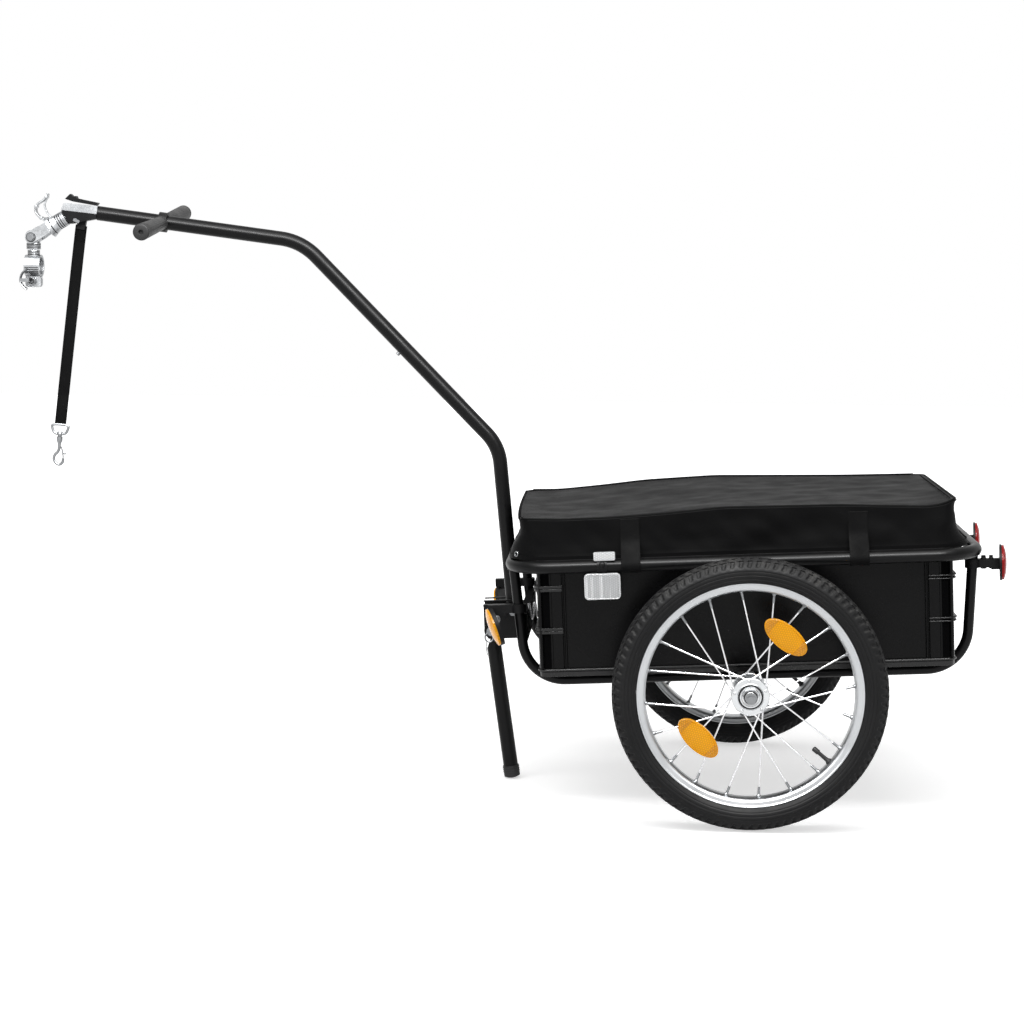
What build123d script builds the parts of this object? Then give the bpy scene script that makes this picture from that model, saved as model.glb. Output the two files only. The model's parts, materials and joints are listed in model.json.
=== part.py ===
from build123d import *
from math import asin, atan2, cos, degrees, hypot, pi, radians, sin, sqrt
import os

# Bicycle cargo trailer, in millimetres.
# It is drawn level, with the axle on the Y axis, X towards the rear and Z up.
# Each piece is then set down as the trailer parks, on its two wheels and its leg.

# ---------------------------------------------------------------- driving sizes

# Clearances
fit_gap = 0.1  # between fixed pieces
running_gap = 0.05  # radial, where a shaft turns in a bore
hinge_gap = 0.8  # beside a turning piece at its pin
cloth_gap = 0.6  # between soft goods and what carries them

# Wheels
wheel_radius = 196.0
tyre_section = 22.0  # radius of the tyre's round section
tyre_wall = 4.0
tread_depth = 2.0
rim_depth = 13.0
rim_wall = 1.6
track = 598.0
flange_radius = 27.0
flange_spacing = 40.0
flange_thickness = 3.0
hub_radius = 13.0
hub_cap_radius = 16.5
hub_inner = 34.0
hub_outer = 30.0
spoke_circle = 23.0
spoke_radius = 1.15
spokes_per_flange = 10
spoke_lean = 54.0  # angle at the hub between a spoke's two ends
valve_angle = -42.6
valve_length = 30.0
spoke_offset = 3.1  # angle of the first spoke
oval_length = 72.0
oval_width = 35.0
oval_depth = 7.0
oval_hold = 24.8  # half the distance between the two spokes that a reflector clips on
oval_places = ((57.9, 0.0, -41.3), (217.6, -2.5, -46.4))  # angle, shift outwards and turn

# Axle
axle_radius = 5.0
beam_radius = 14.0
beam_wall = 2.5
collar_thickness = 4.0
spacer_length = 6.0
nut_flats = 15.0
nut_height = 7.0
axle_overhang = 11.0  # how far the axle stands out of the hub

# Frame
ring_end_gap = 37.0  # from the box's end to the middle of the ring's tube
ring_side_gap = 15.0
ring_corner = 66.0
ring_tube = 9.5
ring_height = 178.5
ring_wall = 1.5
saddle_width = 44.0  # solid middle of the front rail, hollowed where the drawbar leans
hoop_tube = 7.6
hoop_wall = 1.2
hoop_offset = 140.0  # from the middle plane
hoop_inset = 1.0  # of a hoop's top from the ring's line
hoop_splay = 14.0
hoop_bend = 62.0
floor_bar_radius = 7.0
floor_bar_places = (-185.0, 0.0, 185.0)
crossbar_depth = 12.0
crossbar_set = 3.5  # behind the hoops' middle line
crossbar_low = 60.0
crossbar_high = 100.0
crossbar_wall = 1.5

# Box
box_half_length = 302.0
box_half_width = 200.0
box_height = 221.0
box_wall = 10.0
box_corner = 12.0
post_width = 34.0
post_step = 3.0  # how far the corner posts stand out of the long sides
box_floor_lip = 12.0
box_rim = 8.0
box_floor_height = 5.0
panel_gap = 0.3

# Cover and its straps
cover_thickness = 3.0
cover_rise = 12.5  # of its top over the box's
cover_overhang = 6.0
cover_nose = 24.0  # how far it reaches over the box's front end
cover_skirt = 14.0
cover_corner = 20.0
strap_width = 28.0
strap_thickness = 1.6
strap_places = (-163.0, 165.5)
strap_height = 28.0

# Drawbar
drawbar_tube = 11.0
drawbar_wall = 2.0
socket_gap = 0.8  # between the socket and the bracket's back
socket_z = 75.0
riser_lean = 3.04
middle_rise = 48.25
top_rise = 10.08
riser_run = 265.9
middle_run = 434.1
top_run = 316.5
lower_share = 238.2  # of the middle run, in the lower tube
riser_bend = 75.0
top_bend = 92.0
spigot_length = 60.0
button_drop = 29.5
button_radius = 3.0
button_height = 4.0

# Drawbar bracket
bracket_gap = 1.5  # beside the drawbar
bracket_wall = 3.0
cheek_ahead = 10.6  # of the leg's pivot
bracket_low = 44.0
bracket_high = 98.0
flange_width = 5.0
pin_radius = 4.0
pin_rise = 11.0  # over the drawbar's foot

# Handle
handle_place = 214.9  # along the top run
handle_half_length = 165.0
handle_tube = 8.0
handle_twist = 5.7
handle_yaw = 0.2
grip_length = 145.0
grip_end_radius = 12.5
grip_neck_radius = 10.0
collar_width = 13.0
collar_wall = 4.0

# Parking leg
leg_tube = 11.3
leg_lean = 5.55
leg_ahead = 36.1  # of its pivot, ahead of the drawbar's foot
leg_pivot_z = 56.0
leg_length = 211.0  # from the pivot to the middle of the foot's dome
leg_pin_radius = 4.0
stop_radius = 3.0
stop_drop = 8.5
leg_wall = 1.8
leg_collar = 32.0  # solid head of the leg, below its pivot
leg_bevel = 8.0
foot_radius = 12.4
foot_dome = 24.0
foot_height = 20.0

# Reflectors on the frame
side_reflector_x = -205.0
side_reflector_size = (52.5, 38.0, 9.0)
side_tab_size = (31.0, 12.5, 6.0)
side_tab_shift = 4.0
clip_width = 14.0
clip_wall = 2.6
rear_lens_radius = 26.5
front_lens_radius = 29.5
lens_depth = 7.5
rear_reflector_z = 155.5
rear_lens_back = 3.0
rear_lens_tilt = 0.0
rear_lens_places = {"left": (32.0, 0.0, 7.0), "right": (32.0, 0.0, -7.0)}  # arm, drop and turn
front_reflector_z = 109.5
front_lens_back = 6.0
front_lens_tilt = 17.0
front_lens_places = {"left": (24.4, 25.3, 13.0), "right": (28.4, 33.0, 15.0)}
clamp_height = 12.5
arm_width = 12.0
arm_block = 15.0  # length and height of the block at an arm's end
arm_block_drop = 2.0

# Coupler and hitch, with places given ahead of the drawbar's end and across its line
sleeve_outline = ((0.1, -1.5), (0.1, 10.8), (52.7, 8.6), (56.0, -2.7))
boot_outline = ((0.1, -9.0), (0.1, -1.6), (56.0, -2.8), (39.9, -22.0))
latch_outline = (
    (3.0, 10.9),
    (0.5, 15.6),
    (34.0, 18.0),
    (36.0, 21.4),
    (40.0, 20.0),
    (45.1, 23.4),
    (52.0, 14.8),
    (40.0, 12.4),
)
sleeve_half_width = 9.5
boot_half_width = 11.5
latch_half_width = 7.0
barrel_place = 47.2
barrel_offset = -12.2
stub_radius = 5.0
barrel_radius = 12.2
bell_radius = 17.0
barrel_drop = 28.0
barrel_length = 32.0
hitch_arm = 29.0  # from the bell's face to the hitch pin
ear_radius = 9.0
ear_thickness = 4.0
knuckle_half_width = 11.0
knuckle_radius = 11.0
knuckle_drop = 19.0
hitch_pin_radius = 4.0
guard_route = ((20.0, 15.0), (24.5, 22.0), (22.0, 33.0), (30.0, 47.0), (8.0, 47.5))
guard_thickness = 4.0
guard_half_width = 6.0
stud_top = 8.0
swivel_radius = 5.0
neck_radius = 9.5
neck_drop = 26.4
post_radius = 13.6
clamp_wall = 4.0
clamp_length = 24.0
clamp_slit = 3.0
clamp_ear_drop = 15.0
clamp_ear_width = 7.0
clamp_bolt_radius = 3.0
lever_hub_radius = 6.0
lever_width = 10.0
lever_thickness = 4.0
lever_top = 52.0
lever_bottom = 79.0
lever_tip = 6.5
lever_belly = 14.5

# Safety tether
tether_width = 18.0
tether_thickness = 2.2
tether_start = (23.4, -22.0)  # ahead of the drawbar's end and across its line
tether_lead = 15.0
tether_lead_lean = 14.0
tether_run = 293.0
tether_lean = 9.38
tether_bend = 30.0
hook_lean = 6.7
hook_wire = 2.0
hook_ring = ((1.2, -13.5), (1.2, 13.5), (15.5, 13.5), (15.5, -13.5))
hook_eye = ((4.8, -9.5), (4.8, 9.5), (11.5, 9.5), (11.5, -9.5))
hook_route = ((36.0, 0.0), (43.0, 0.0), (49.0, -6.5), (60.0, -6.5), (63.5, 5.0), (50.0, 7.0))
stem_length = 28.0


# ---------------------------------------------------------------- sizes that follow

ring_half_length = box_half_length + ring_end_gap
ring_half_width = box_half_width + ring_side_gap
hoop_top = ring_half_length - hoop_inset
hoop_foot = hoop_top - hoop_splay


def hoop_x(height):
    """Centre of a hoop's upright at a height, as a distance from the axle."""
    return hoop_foot + (hoop_top - hoop_foot) * height / ring_height


crossbar_x = -hoop_x((crossbar_low + crossbar_high) / 2) + crossbar_set
bracket_back = crossbar_x - crossbar_depth / 2 - fit_gap
bracket_half_gap = max(drawbar_tube + bracket_gap, leg_tube + hinge_gap + 0.4)
socket_x = bracket_back - bracket_wall - drawbar_tube - socket_gap
leg_pivot_x = socket_x - leg_ahead
bracket_front = leg_pivot_x - cheek_ahead
lever_reach = post_radius + clamp_wall + 0.6 - clamp_ear_width  # clears the clamp's round body

# ---------------------------------------------------------------- helpers


def park_pitch():
    """Degrees that the trailer leans nose down when its leg stands on the floor."""
    foot_x = leg_pivot_x + leg_length * sin(radians(leg_lean))
    foot_z = leg_pivot_z - leg_length * cos(radians(leg_lean))
    reach = hypot(foot_x, foot_z)
    return degrees(asin((wheel_radius - foot_dome) / reach) - atan2(-foot_z, -foot_x))


pitch = park_pitch()
hang_x = -sin(radians(pitch))  # straight down when parked, in the level frame
hang_z = -cos(radians(pitch))


def ahead(point, angle, distance):
    """The point reached from another at an angle above the forward direction."""
    return (point[0] - distance * cos(radians(angle)), point[1] + distance * sin(radians(angle)))


socket = (socket_x, socket_z)
riser_corner = ahead(socket, 90 - riser_lean, riser_run)
seam = ahead(riser_corner, middle_rise, lower_share)
top_corner = ahead(riser_corner, middle_rise, middle_run)
tube_end = ahead(top_corner, top_rise, top_run)


def ahead_of_tube(along, across):
    """A point given along the drawbar's top run, from its end, and across it, upwards."""
    point = ahead(tube_end, top_rise, along)
    return ahead(point, 90 + top_rise, across)


barrel_start = ahead_of_tube(barrel_place, barrel_offset)
hitch_point = ahead(barrel_start, -barrel_drop, barrel_length + hitch_arm)


def below_hitch(drop, reach=0.0):
    """A point that hangs below the hitch pin when parked, and ahead of it by a reach."""
    return (
        hitch_point[0] + hang_x * drop + hang_z * reach,
        hitch_point[1] + hang_z * drop - hang_x * reach,
    )


def parked_x(point):
    """Where a point of the level drawing lands along X, before the origin is centred."""
    return point[0] * cos(radians(pitch)) - point[1] * sin(radians(pitch))


front_extent = parked_x(below_hitch(66.0, 28.0))
lens_outer = hoop_x(rear_reflector_z) + hoop_tube + rear_lens_places["left"][0]
lens_outer += rear_lens_back + lens_depth
rear_extent = parked_x((lens_outer, rear_reflector_z))
origin_shift = -(front_extent + rear_extent) / 2
parked = Location((origin_shift, 0, wheel_radius), (0, -pitch, 0))


def finish(piece, label):
    """Set a piece down where the parked trailer has it, name it and write it."""
    piece.part = piece.part.moved(parked)
    piece.part.label = label
    export_step(piece.part, f"parts/{label}.step")


def side_plane(y, x=0.0, z=0.0):
    """A sketch plane facing -Y, with its local X along X and its local Y along Z."""
    return Plane(origin=(x, y, z), x_dir=(1, 0, 0), z_dir=(0, -1, 0))


def bent_tube(points, bends, radius, bore=0.0, closed=False):
    """A round tube along straight runs and tangent bends."""
    with BuildPart() as tube:
        with BuildLine() as path:
            FilletPolyline(*points, radius=bends, close=closed)
        with BuildSketch(Plane(origin=path.line @ 0, z_dir=path.line % 0)):
            Circle(radius)
            if bore:
                Circle(bore, mode=Mode.SUBTRACT)
        sweep()
    return tube


def spun(profile, label):
    """A closed outline of radius and place along Y, turned about the axle's line."""
    with BuildPart() as piece:
        with BuildSketch(Plane.XY):
            with BuildLine():
                Polyline(*profile, close=True)
            make_face()
        revolve(axis=Axis.Y)
    piece.part.label = label
    return piece


os.makedirs("parts", exist_ok=True)
sides = (("left", -1), ("right", 1))
wheel_plane = track / 2
section_centre = wheel_radius - tyre_section
rim_edge = section_centre - 13.0
carcass_centre = section_centre - tread_depth + 0.5
carcass_radius = tyre_section - tyre_wall
bead_outer = sqrt(tyre_section**2 - (section_centre - rim_edge) ** 2)
bead_inner = sqrt(carcass_radius**2 - (carcass_centre - rim_edge) ** 2)
rim_half_width = (bead_outer + bead_inner) / 2
rim_bed = rim_edge - rim_depth

# ---------------------------------------------------------------- wheels


def build_tyre(side, y):
    with BuildPart() as tyre:
        with BuildSketch(Plane.XY):
            with Locations((section_centre, y)):
                Circle(tyre_section)
            with Locations((carcass_centre, y)):
                Circle(carcass_radius, mode=Mode.SUBTRACT)
            with Locations((rim_edge + fit_gap, y)):
                Rectangle(
                    2 * tyre_section,
                    2 * tyre_section + 2,
                    align=(Align.MAX, Align.CENTER),
                    mode=Mode.SUBTRACT,
                )
        revolve(axis=Axis.Y)
    finish(tyre, f"{side}_tyre")


def build_rim(side, y):
    half = rim_half_width
    step = 4.0
    profile = (
        (rim_edge, y - half),
        (rim_bed + step, y - half),
        (rim_bed, y - half + step),
        (rim_bed, y + half - step),
        (rim_bed + step, y + half),
        (rim_edge, y + half),
        (rim_edge, y + half - rim_wall),
        (rim_bed + step + 0.5, y + half - rim_wall),
        (rim_bed + rim_wall, y + half - step - rim_wall),
        (rim_bed + rim_wall, y - half + step + rim_wall),
        (rim_bed + step + 0.5, y - half + rim_wall),
        (rim_edge, y - half + rim_wall),
    )
    finish(spun(profile, "rim"), f"{side}_rim")


def build_hub(side, sign, y):
    bore = axle_radius + running_gap
    inner = y - sign * hub_inner
    outer = y + sign * hub_outer
    near = y - sign * (flange_spacing / 2 - flange_thickness / 2)
    near_end = near - sign * flange_thickness
    far = y + sign * (flange_spacing / 2 - flange_thickness / 2)
    far_end = far + sign * flange_thickness
    profile = (
        (bore, inner),
        (hub_radius, inner),
        (hub_cap_radius, near_end),
        (flange_radius, near_end),
        (flange_radius, near),
        (hub_radius, near),
        (hub_radius, far),
        (flange_radius, far),
        (flange_radius, far_end),
        (hub_cap_radius, far_end),
        (hub_cap_radius, outer),
        (bore, outer),
    )
    finish(spun(profile, "hub"), f"{side}_hub")


def build_spokes(side, sign, y):
    count = 2 * spokes_per_flange
    with BuildPart() as spokes:
        for index in range(count):
            flange = -sign if index % 2 else sign
            pair = index // 2
            turn = spoke_lean if pair % 2 else -spoke_lean
            rim_angle = radians(spoke_offset + index * 360 / count)
            hub_angle = rim_angle + radians(turn)
            flange_y = y + flange * flange_spacing / 2
            start = Vector(spoke_circle * cos(hub_angle), flange_y, spoke_circle * sin(hub_angle))
            end = Vector(rim_bed * cos(rim_angle), y + flange * 3, rim_bed * sin(rim_angle))
            run = end - start
            with BuildSketch(Plane(origin=start, z_dir=run)):
                Circle(spoke_radius)
            extrude(amount=run.length + 1.0)
    finish(spokes, f"{side}_spokes")


def build_valve(side, y):
    angle = radians(valve_angle)
    inward = Vector(-cos(angle), 0, -sin(angle))
    root = Vector(rim_bed * cos(angle), y, rim_bed * sin(angle)) + inward * 2 * fit_gap
    with BuildPart() as valve:
        with BuildSketch(Plane(origin=root, z_dir=inward)):
            Circle(3.6)
        extrude(amount=valve_length)
        with BuildSketch(Plane(origin=root, z_dir=inward)):
            Circle(5.0)
        extrude(amount=2.5)
    finish(valve, f"{side}_valve")


def build_spoke_reflectors(side, sign, y):
    half_step = pi / spokes_per_flange
    hub_half = radians(spoke_lean) - half_step
    hub_part = spoke_circle * sin(hub_half)
    share = (oval_hold + hub_part) / (rim_bed * sin(half_step) + hub_part)
    reach = (1 - share) * spoke_circle * cos(hub_half) + share * rim_bed * cos(half_step)
    stand_off = flange_spacing / 2 + share * (3 - flange_spacing / 2) + spoke_radius + 0.4
    with BuildPart() as reflectors:
        for place, shift, turn in oval_places:
            outwards = Vector(cos(radians(place)), 0, sin(radians(place)))
            oval_plane = Plane(
                origin=outwards * (reach + shift) + Vector(0, y + sign * stand_off, 0),
                x_dir=(cos(radians(turn)), 0, sin(radians(turn))),
                z_dir=(0, sign, 0),
            )
            with BuildSketch(oval_plane):
                Ellipse(oval_length / 2, oval_width / 2)
            extrude(amount=oval_depth)
        face_edges = reflectors.edges().filter_by(GeomType.ELLIPSE).group_by(Axis.Y)
        chamfer(face_edges[-1 if sign > 0 else 0], length=2.0)
    finish(reflectors, f"{side}_spoke_reflectors")


def build_axle(side, sign, y):
    bore = beam_radius - beam_wall
    hub_face = y - sign * hub_inner
    collar_end = hub_face - sign * (spacer_length + 0.5)
    collar_start = collar_end - sign * collar_thickness
    tip = y + sign * (hub_outer + axle_overhang)
    profile = (
        (0, collar_start - sign * 22),
        (bore - fit_gap, collar_start - sign * 22),
        (bore - fit_gap, collar_start),
        (beam_radius + 1.5, collar_start),
        (beam_radius + 1.5, collar_end),
        (8.0, collar_end),
        (8.0, hub_face - sign * 0.5),
        (axle_radius, hub_face - sign * 0.5),
        (axle_radius, tip),
        (0, tip),
    )
    finish(spun(profile, "axle"), f"{side}_axle")


for side, sign in sides:
    plane_y = sign * wheel_plane
    build_tyre(side, plane_y)
    build_rim(side, plane_y)
    build_hub(side, sign, plane_y)
    build_spokes(side, sign, plane_y)
    build_valve(side, plane_y)
    build_spoke_reflectors(side, sign, plane_y)
    build_axle(side, sign, plane_y)

with BuildPart() as axle_nuts:
    nut_start = wheel_plane + hub_outer + 1.0
    for _, sign in sides:
        with BuildSketch(side_plane(sign * nut_start)):
            RegularPolygon(nut_flats / 2, 6, major_radius=False)
            Circle(axle_radius + fit_gap, mode=Mode.SUBTRACT)
        extrude(amount=-sign * nut_height)
finish(axle_nuts, "axle_nuts")

# ---------------------------------------------------------------- frame

rx = ring_half_length
ry = ring_half_width
ring_points = [(rx, -ry), (rx, ry), (-rx, ry), (-rx, -ry)]
ring_path = [(x, y, ring_height) for x, y in ring_points]
ring_bore = ring_tube - ring_wall
ring_hollow = bent_tube(ring_path, ring_corner, ring_tube, ring_bore, closed=True)
with BuildPart() as ring_frame:
    add(ring_hollow.part)
    with BuildSketch(side_plane(-saddle_width / 2, -rx, ring_height)):
        Circle(ring_bore + 0.2)
    extrude(amount=-saddle_width)
    with BuildSketch(Plane.XY.offset(ring_height - 2 * ring_tube)):
        with Locations((socket_x - (ring_height - socket_z) * sin(radians(riser_lean)), 0)):
            Ellipse(drawbar_tube + 0.6, drawbar_tube + 0.5)
    extrude(amount=4 * ring_tube, mode=Mode.SUBTRACT)
ring_cutter = bent_tube(ring_path, ring_corner, ring_tube + fit_gap, closed=True)

hoops = {}
for side, sign in sides:
    hoop_y = sign * hoop_offset
    hoop_path = [
        (-hoop_top, hoop_y, ring_height),
        (-hoop_foot, hoop_y, 0),
        (hoop_foot, hoop_y, 0),
        (hoop_top, hoop_y, ring_height),
    ]
    hoop_tube_part = bent_tube(hoop_path, hoop_bend, hoop_tube, hoop_tube - hoop_wall)
    with BuildPart() as hoop:
        add(hoop_tube_part.part)
        add(ring_cutter.part, mode=Mode.SUBTRACT)
    hoops[side] = bent_tube(hoop_path, hoop_bend, hoop_tube + fit_gap)
    finish(hoop, f"{side}_hoop")
finish(ring_frame, "ring_frame")

with BuildPart() as front_crossbar:
    with BuildSketch(Plane.XZ.offset(-hoop_offset)):
        with Locations((crossbar_x, (crossbar_low + crossbar_high) / 2)):
            Rectangle(crossbar_depth, crossbar_high - crossbar_low)
            Rectangle(
                crossbar_depth - 2 * crossbar_wall,
                crossbar_high - crossbar_low - 2 * crossbar_wall,
                mode=Mode.SUBTRACT,
            )
    extrude(amount=2 * hoop_offset)
    for hoop_solid in hoops.values():
        add(hoop_solid.part, mode=Mode.SUBTRACT)
    add(
        front_crossbar.part.solids().sort_by(SortBy.VOLUME)[-1],
        mode=Mode.REPLACE,
    )
finish(front_crossbar, "front_crossbar")

floor_bar_height = hoop_tube + floor_bar_radius + fit_gap
with BuildPart() as floor_crossbars:
    for bar_x in floor_bar_places:
        if bar_x:
            with BuildSketch(side_plane(-hoop_offset - hoop_tube, bar_x, floor_bar_height)):
                Circle(floor_bar_radius)
            extrude(amount=-2 * (hoop_offset + hoop_tube))
finish(floor_crossbars, "floor_crossbars")

beam_end = wheel_plane - hub_inner - spacer_length - 0.5 - collar_thickness
with BuildPart() as axle_beam:
    with BuildSketch(side_plane(-beam_end)):
        Circle(beam_radius)
        Circle(beam_radius - beam_wall, mode=Mode.SUBTRACT)
    extrude(amount=-2 * beam_end)
    for hoop_solid in hoops.values():
        add(hoop_solid.part, mode=Mode.SUBTRACT)
finish(axle_beam, "axle_beam")

# ---------------------------------------------------------------- box

box_bottom = floor_bar_height + floor_bar_radius + fit_gap
box_top = box_bottom + box_height
with BuildPart() as box_floor:
    with BuildSketch(Plane.XY.offset(box_bottom)):
        RectangleRounded(2 * box_half_length, 2 * box_half_width, box_corner)
    extrude(amount=box_floor_height)
    with BuildSketch(Plane.XY.offset(box_bottom + box_floor_height)):
        inset = box_wall + panel_gap
        Rectangle(2 * (box_half_length - inset), 2 * (box_half_width - inset))
        Rectangle(
            2 * (box_half_length - inset - 2),
            2 * (box_half_width - inset - 2),
            mode=Mode.SUBTRACT,
        )
    extrude(amount=box_floor_lip)
finish(box_floor, "box_floor")

wall_base = box_bottom + box_floor_height + panel_gap
for side, sign in sides:
    inner_y = sign * (box_half_width - box_wall)
    outer_y = sign * (box_half_width - post_step)
    half = box_half_length - post_width - panel_gap
    with BuildPart() as box_side:
        with BuildSketch(Plane.XY.offset(wall_base)):
            with Locations((0, (inner_y + outer_y) / 2)):
                Rectangle(2 * half, abs(outer_y - inner_y))
        extrude(amount=box_top - wall_base)
        with BuildSketch(Plane.XY.offset(box_top - box_rim)):
            with Locations((0, sign * (box_half_width - post_step / 2))):
                Rectangle(2 * half, post_step)
        extrude(amount=box_rim)
    finish(box_side, f"box_{side}_side")

for place, sign in (("front", -1), ("rear", 1)):
    post_x = sign * (box_half_length - post_width / 2)
    with BuildPart() as box_end:
        with BuildSketch(Plane.XY.offset(wall_base)):
            RectangleRounded(2 * box_half_length, 2 * box_half_width, box_corner)
            Rectangle(
                2 * (box_half_length - box_wall),
                2 * (box_half_width - box_wall),
                mode=Mode.SUBTRACT,
            )
            with Locations((post_x, 0)):
                Rectangle(post_width, 2 * box_half_width, mode=Mode.INTERSECT)
        extrude(amount=box_top - wall_base)
    finish(box_end, f"box_{place}_end")

# ---------------------------------------------------------------- cover

hem_height = ring_height + ring_tube + cloth_gap
hem_x = ring_half_length - 2.0
hem_y = ring_half_width - 2.0
neck_front = box_half_length + cover_nose
neck_rear = box_half_length + cover_overhang
neck_y = box_half_width + cover_overhang
neck_height = hem_height + cover_skirt
cover_top = box_top + cover_rise


def cover_shell(grow, low, top):
    """The cover's outline, grown outwards, from its hem up to its flat top."""
    neck_centre = (neck_rear - neck_front) / 2
    neck_length = neck_rear + neck_front + 2 * grow
    with BuildPart() as shell:
        with BuildSketch(Plane.XY.offset(low)):
            RectangleRounded(2 * (hem_x + grow), 2 * (hem_y + grow), 2 * cover_corner + grow)
        with BuildSketch(Plane.XY.offset(neck_height)):
            with Locations((neck_centre, 0)):
                RectangleRounded(neck_length, 2 * (neck_y + grow), cover_corner + grow)
        loft(ruled=True)
        with BuildSketch(Plane.XY.offset(neck_height)):
            with Locations((neck_centre, 0)):
                RectangleRounded(neck_length, 2 * (neck_y + grow), cover_corner + grow)
        extrude(amount=top - neck_height)
    return shell


cover_outer = cover_shell(0.0, hem_height, cover_top)
cover_inner = cover_shell(-cover_thickness, hem_height, cover_top - cover_thickness)
with BuildPart() as cargo_cover:
    add(cover_outer.part)
    add(cover_inner.part, mode=Mode.SUBTRACT)
    with BuildSketch(Plane.YZ.offset(side_reflector_x - clip_width / 2 - 1)):
        with Locations((-ring_half_width, ring_height), (ring_half_width, ring_height)):
            Circle(ring_tube + clip_wall + cloth_gap)
    extrude(amount=clip_width + 2, mode=Mode.SUBTRACT)
finish(cargo_cover, "cargo_cover")

strap_inner = ring_tube + cloth_gap
strap_outer = strap_inner + strap_thickness
with BuildPart() as cover_straps:
    for _, sign in sides:
        for strap_x in strap_places:
            start_x = strap_x - strap_width / 2
            tail_y = sign * (ring_half_width + strap_inner + strap_thickness / 2)
            with BuildSketch(Plane.YZ.offset(start_x)):
                with Locations((sign * ring_half_width, ring_height)):
                    Circle(strap_outer)
                with Locations((tail_y, ring_height)):
                    Rectangle(strap_thickness, strap_height, align=(Align.CENTER, Align.MIN))
                with Locations((sign * ring_half_width, ring_height)):
                    Circle(strap_inner, mode=Mode.SUBTRACT)
                with Locations((sign * ring_half_width, ring_height)):
                    Rectangle(
                        3 * strap_outer,
                        2 * strap_outer,
                        align=(Align.MAX if sign > 0 else Align.MIN, Align.MIN),
                        mode=Mode.SUBTRACT,
                    )
            extrude(amount=strap_width)
finish(cover_straps, "cover_straps")

# ---------------------------------------------------------------- drawbar

pin_x, pin_z = ahead(socket, 90 - riser_lean, pin_rise)
with BuildPart() as lower_drawbar:
    add(
        bent_tube(
            [(x, 0, z) for x, z in (socket, riser_corner, seam)],
            riser_bend,
            drawbar_tube,
            drawbar_tube - drawbar_wall,
        ).part
    )
    down_run = Plane(
        origin=(seam[0], 0, seam[1]),
        x_dir=(0, 1, 0),
        z_dir=(cos(radians(middle_rise)), 0, -sin(radians(middle_rise))),
    )
    button_point = down_run.from_local_coords((0, 0, button_drop))
    button_side = Vector(-sin(radians(middle_rise)), 0, -cos(radians(middle_rise)))
    with BuildSketch(Plane(origin=button_point, z_dir=button_side)):
        Circle(button_radius + fit_gap)
    extrude(amount=2 * drawbar_tube, mode=Mode.SUBTRACT)
    with BuildSketch(side_plane(-2 * drawbar_tube, pin_x, pin_z)):
        Circle(pin_radius + fit_gap)
    extrude(amount=-4 * drawbar_tube, mode=Mode.SUBTRACT)
finish(lower_drawbar, "lower_drawbar")

with BuildPart() as upper_drawbar:
    add(
        bent_tube(
            [(x, 0, z) for x, z in (seam, top_corner, tube_end)],
            top_bend,
            drawbar_tube,
            drawbar_tube - drawbar_wall,
        ).part
    )
    spigot_radius = drawbar_tube - drawbar_wall - fit_gap
    with BuildSketch(down_run.offset(-8)):
        Circle(spigot_radius + 0.5)
        Circle(spigot_radius - drawbar_wall, mode=Mode.SUBTRACT)
    extrude(amount=8)
    with BuildSketch(down_run):
        Circle(spigot_radius)
        Circle(spigot_radius - drawbar_wall, mode=Mode.SUBTRACT)
    extrude(amount=spigot_length)
    with BuildSketch(Plane(origin=button_point, z_dir=button_side)):
        Circle(button_radius + fit_gap)
    extrude(amount=2 * drawbar_tube, mode=Mode.SUBTRACT)
finish(upper_drawbar, "upper_drawbar")

with BuildPart() as drawbar_button:
    with BuildSketch(Plane(origin=button_point + button_side * 5, z_dir=button_side)):
        Circle(button_radius)
    extrude(amount=drawbar_tube - 5 + button_height)
    fillet(drawbar_button.faces().sort_by(Axis.Z)[0].edges(), radius=1.2)
finish(drawbar_button, "drawbar_button")

stop_point = ahead((leg_pivot_x, leg_pivot_z), -90 - leg_lean, stop_drop)
stop_point = ahead(stop_point, 180 - leg_lean, leg_tube + stop_radius + fit_gap)
with BuildPart() as drawbar_bracket:
    half = bracket_half_gap + bracket_wall
    with BuildSketch(Plane.XY.offset(bracket_low)):
        with Locations((bracket_back, 0)):
            Rectangle(bracket_back - bracket_front, 2 * half, align=(Align.MAX, Align.CENTER))
        with Locations((bracket_back - bracket_wall, 0)):
            Rectangle(
                bracket_back - bracket_front,
                2 * bracket_half_gap,
                align=(Align.MAX, Align.CENTER),
                mode=Mode.SUBTRACT,
            )
    extrude(amount=bracket_high - bracket_low)
    with BuildSketch(Plane.XY.offset(bracket_high - bracket_wall)):
        for sign in (-1, 1):
            with Locations((bracket_back, sign * half)):
                Rectangle(
                    bracket_back - bracket_front,
                    flange_width,
                    align=(Align.MAX, Align.MIN if sign > 0 else Align.MAX),
                )
    extrude(amount=bracket_wall)
    with BuildSketch(side_plane(-half - 6)):
        with BuildLine():
            Polyline(
                (bracket_front - 1, bracket_low - 1),
                (bracket_front + 7, bracket_low - 1),
                (bracket_front - 1, bracket_low + 9),
                close=True,
            )
        make_face()
    extrude(amount=-2 * (half + 6), mode=Mode.SUBTRACT)
    with BuildSketch(side_plane(-half - 6)):
        with Locations((leg_pivot_x, leg_pivot_z)):
            Circle(leg_pin_radius + fit_gap)
        with Locations((pin_x, pin_z)):
            Circle(pin_radius + fit_gap)
        with Locations(stop_point):
            Circle(stop_radius + fit_gap)
    extrude(amount=-2 * (half + 6), mode=Mode.SUBTRACT)
finish(drawbar_bracket, "drawbar_bracket")

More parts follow.
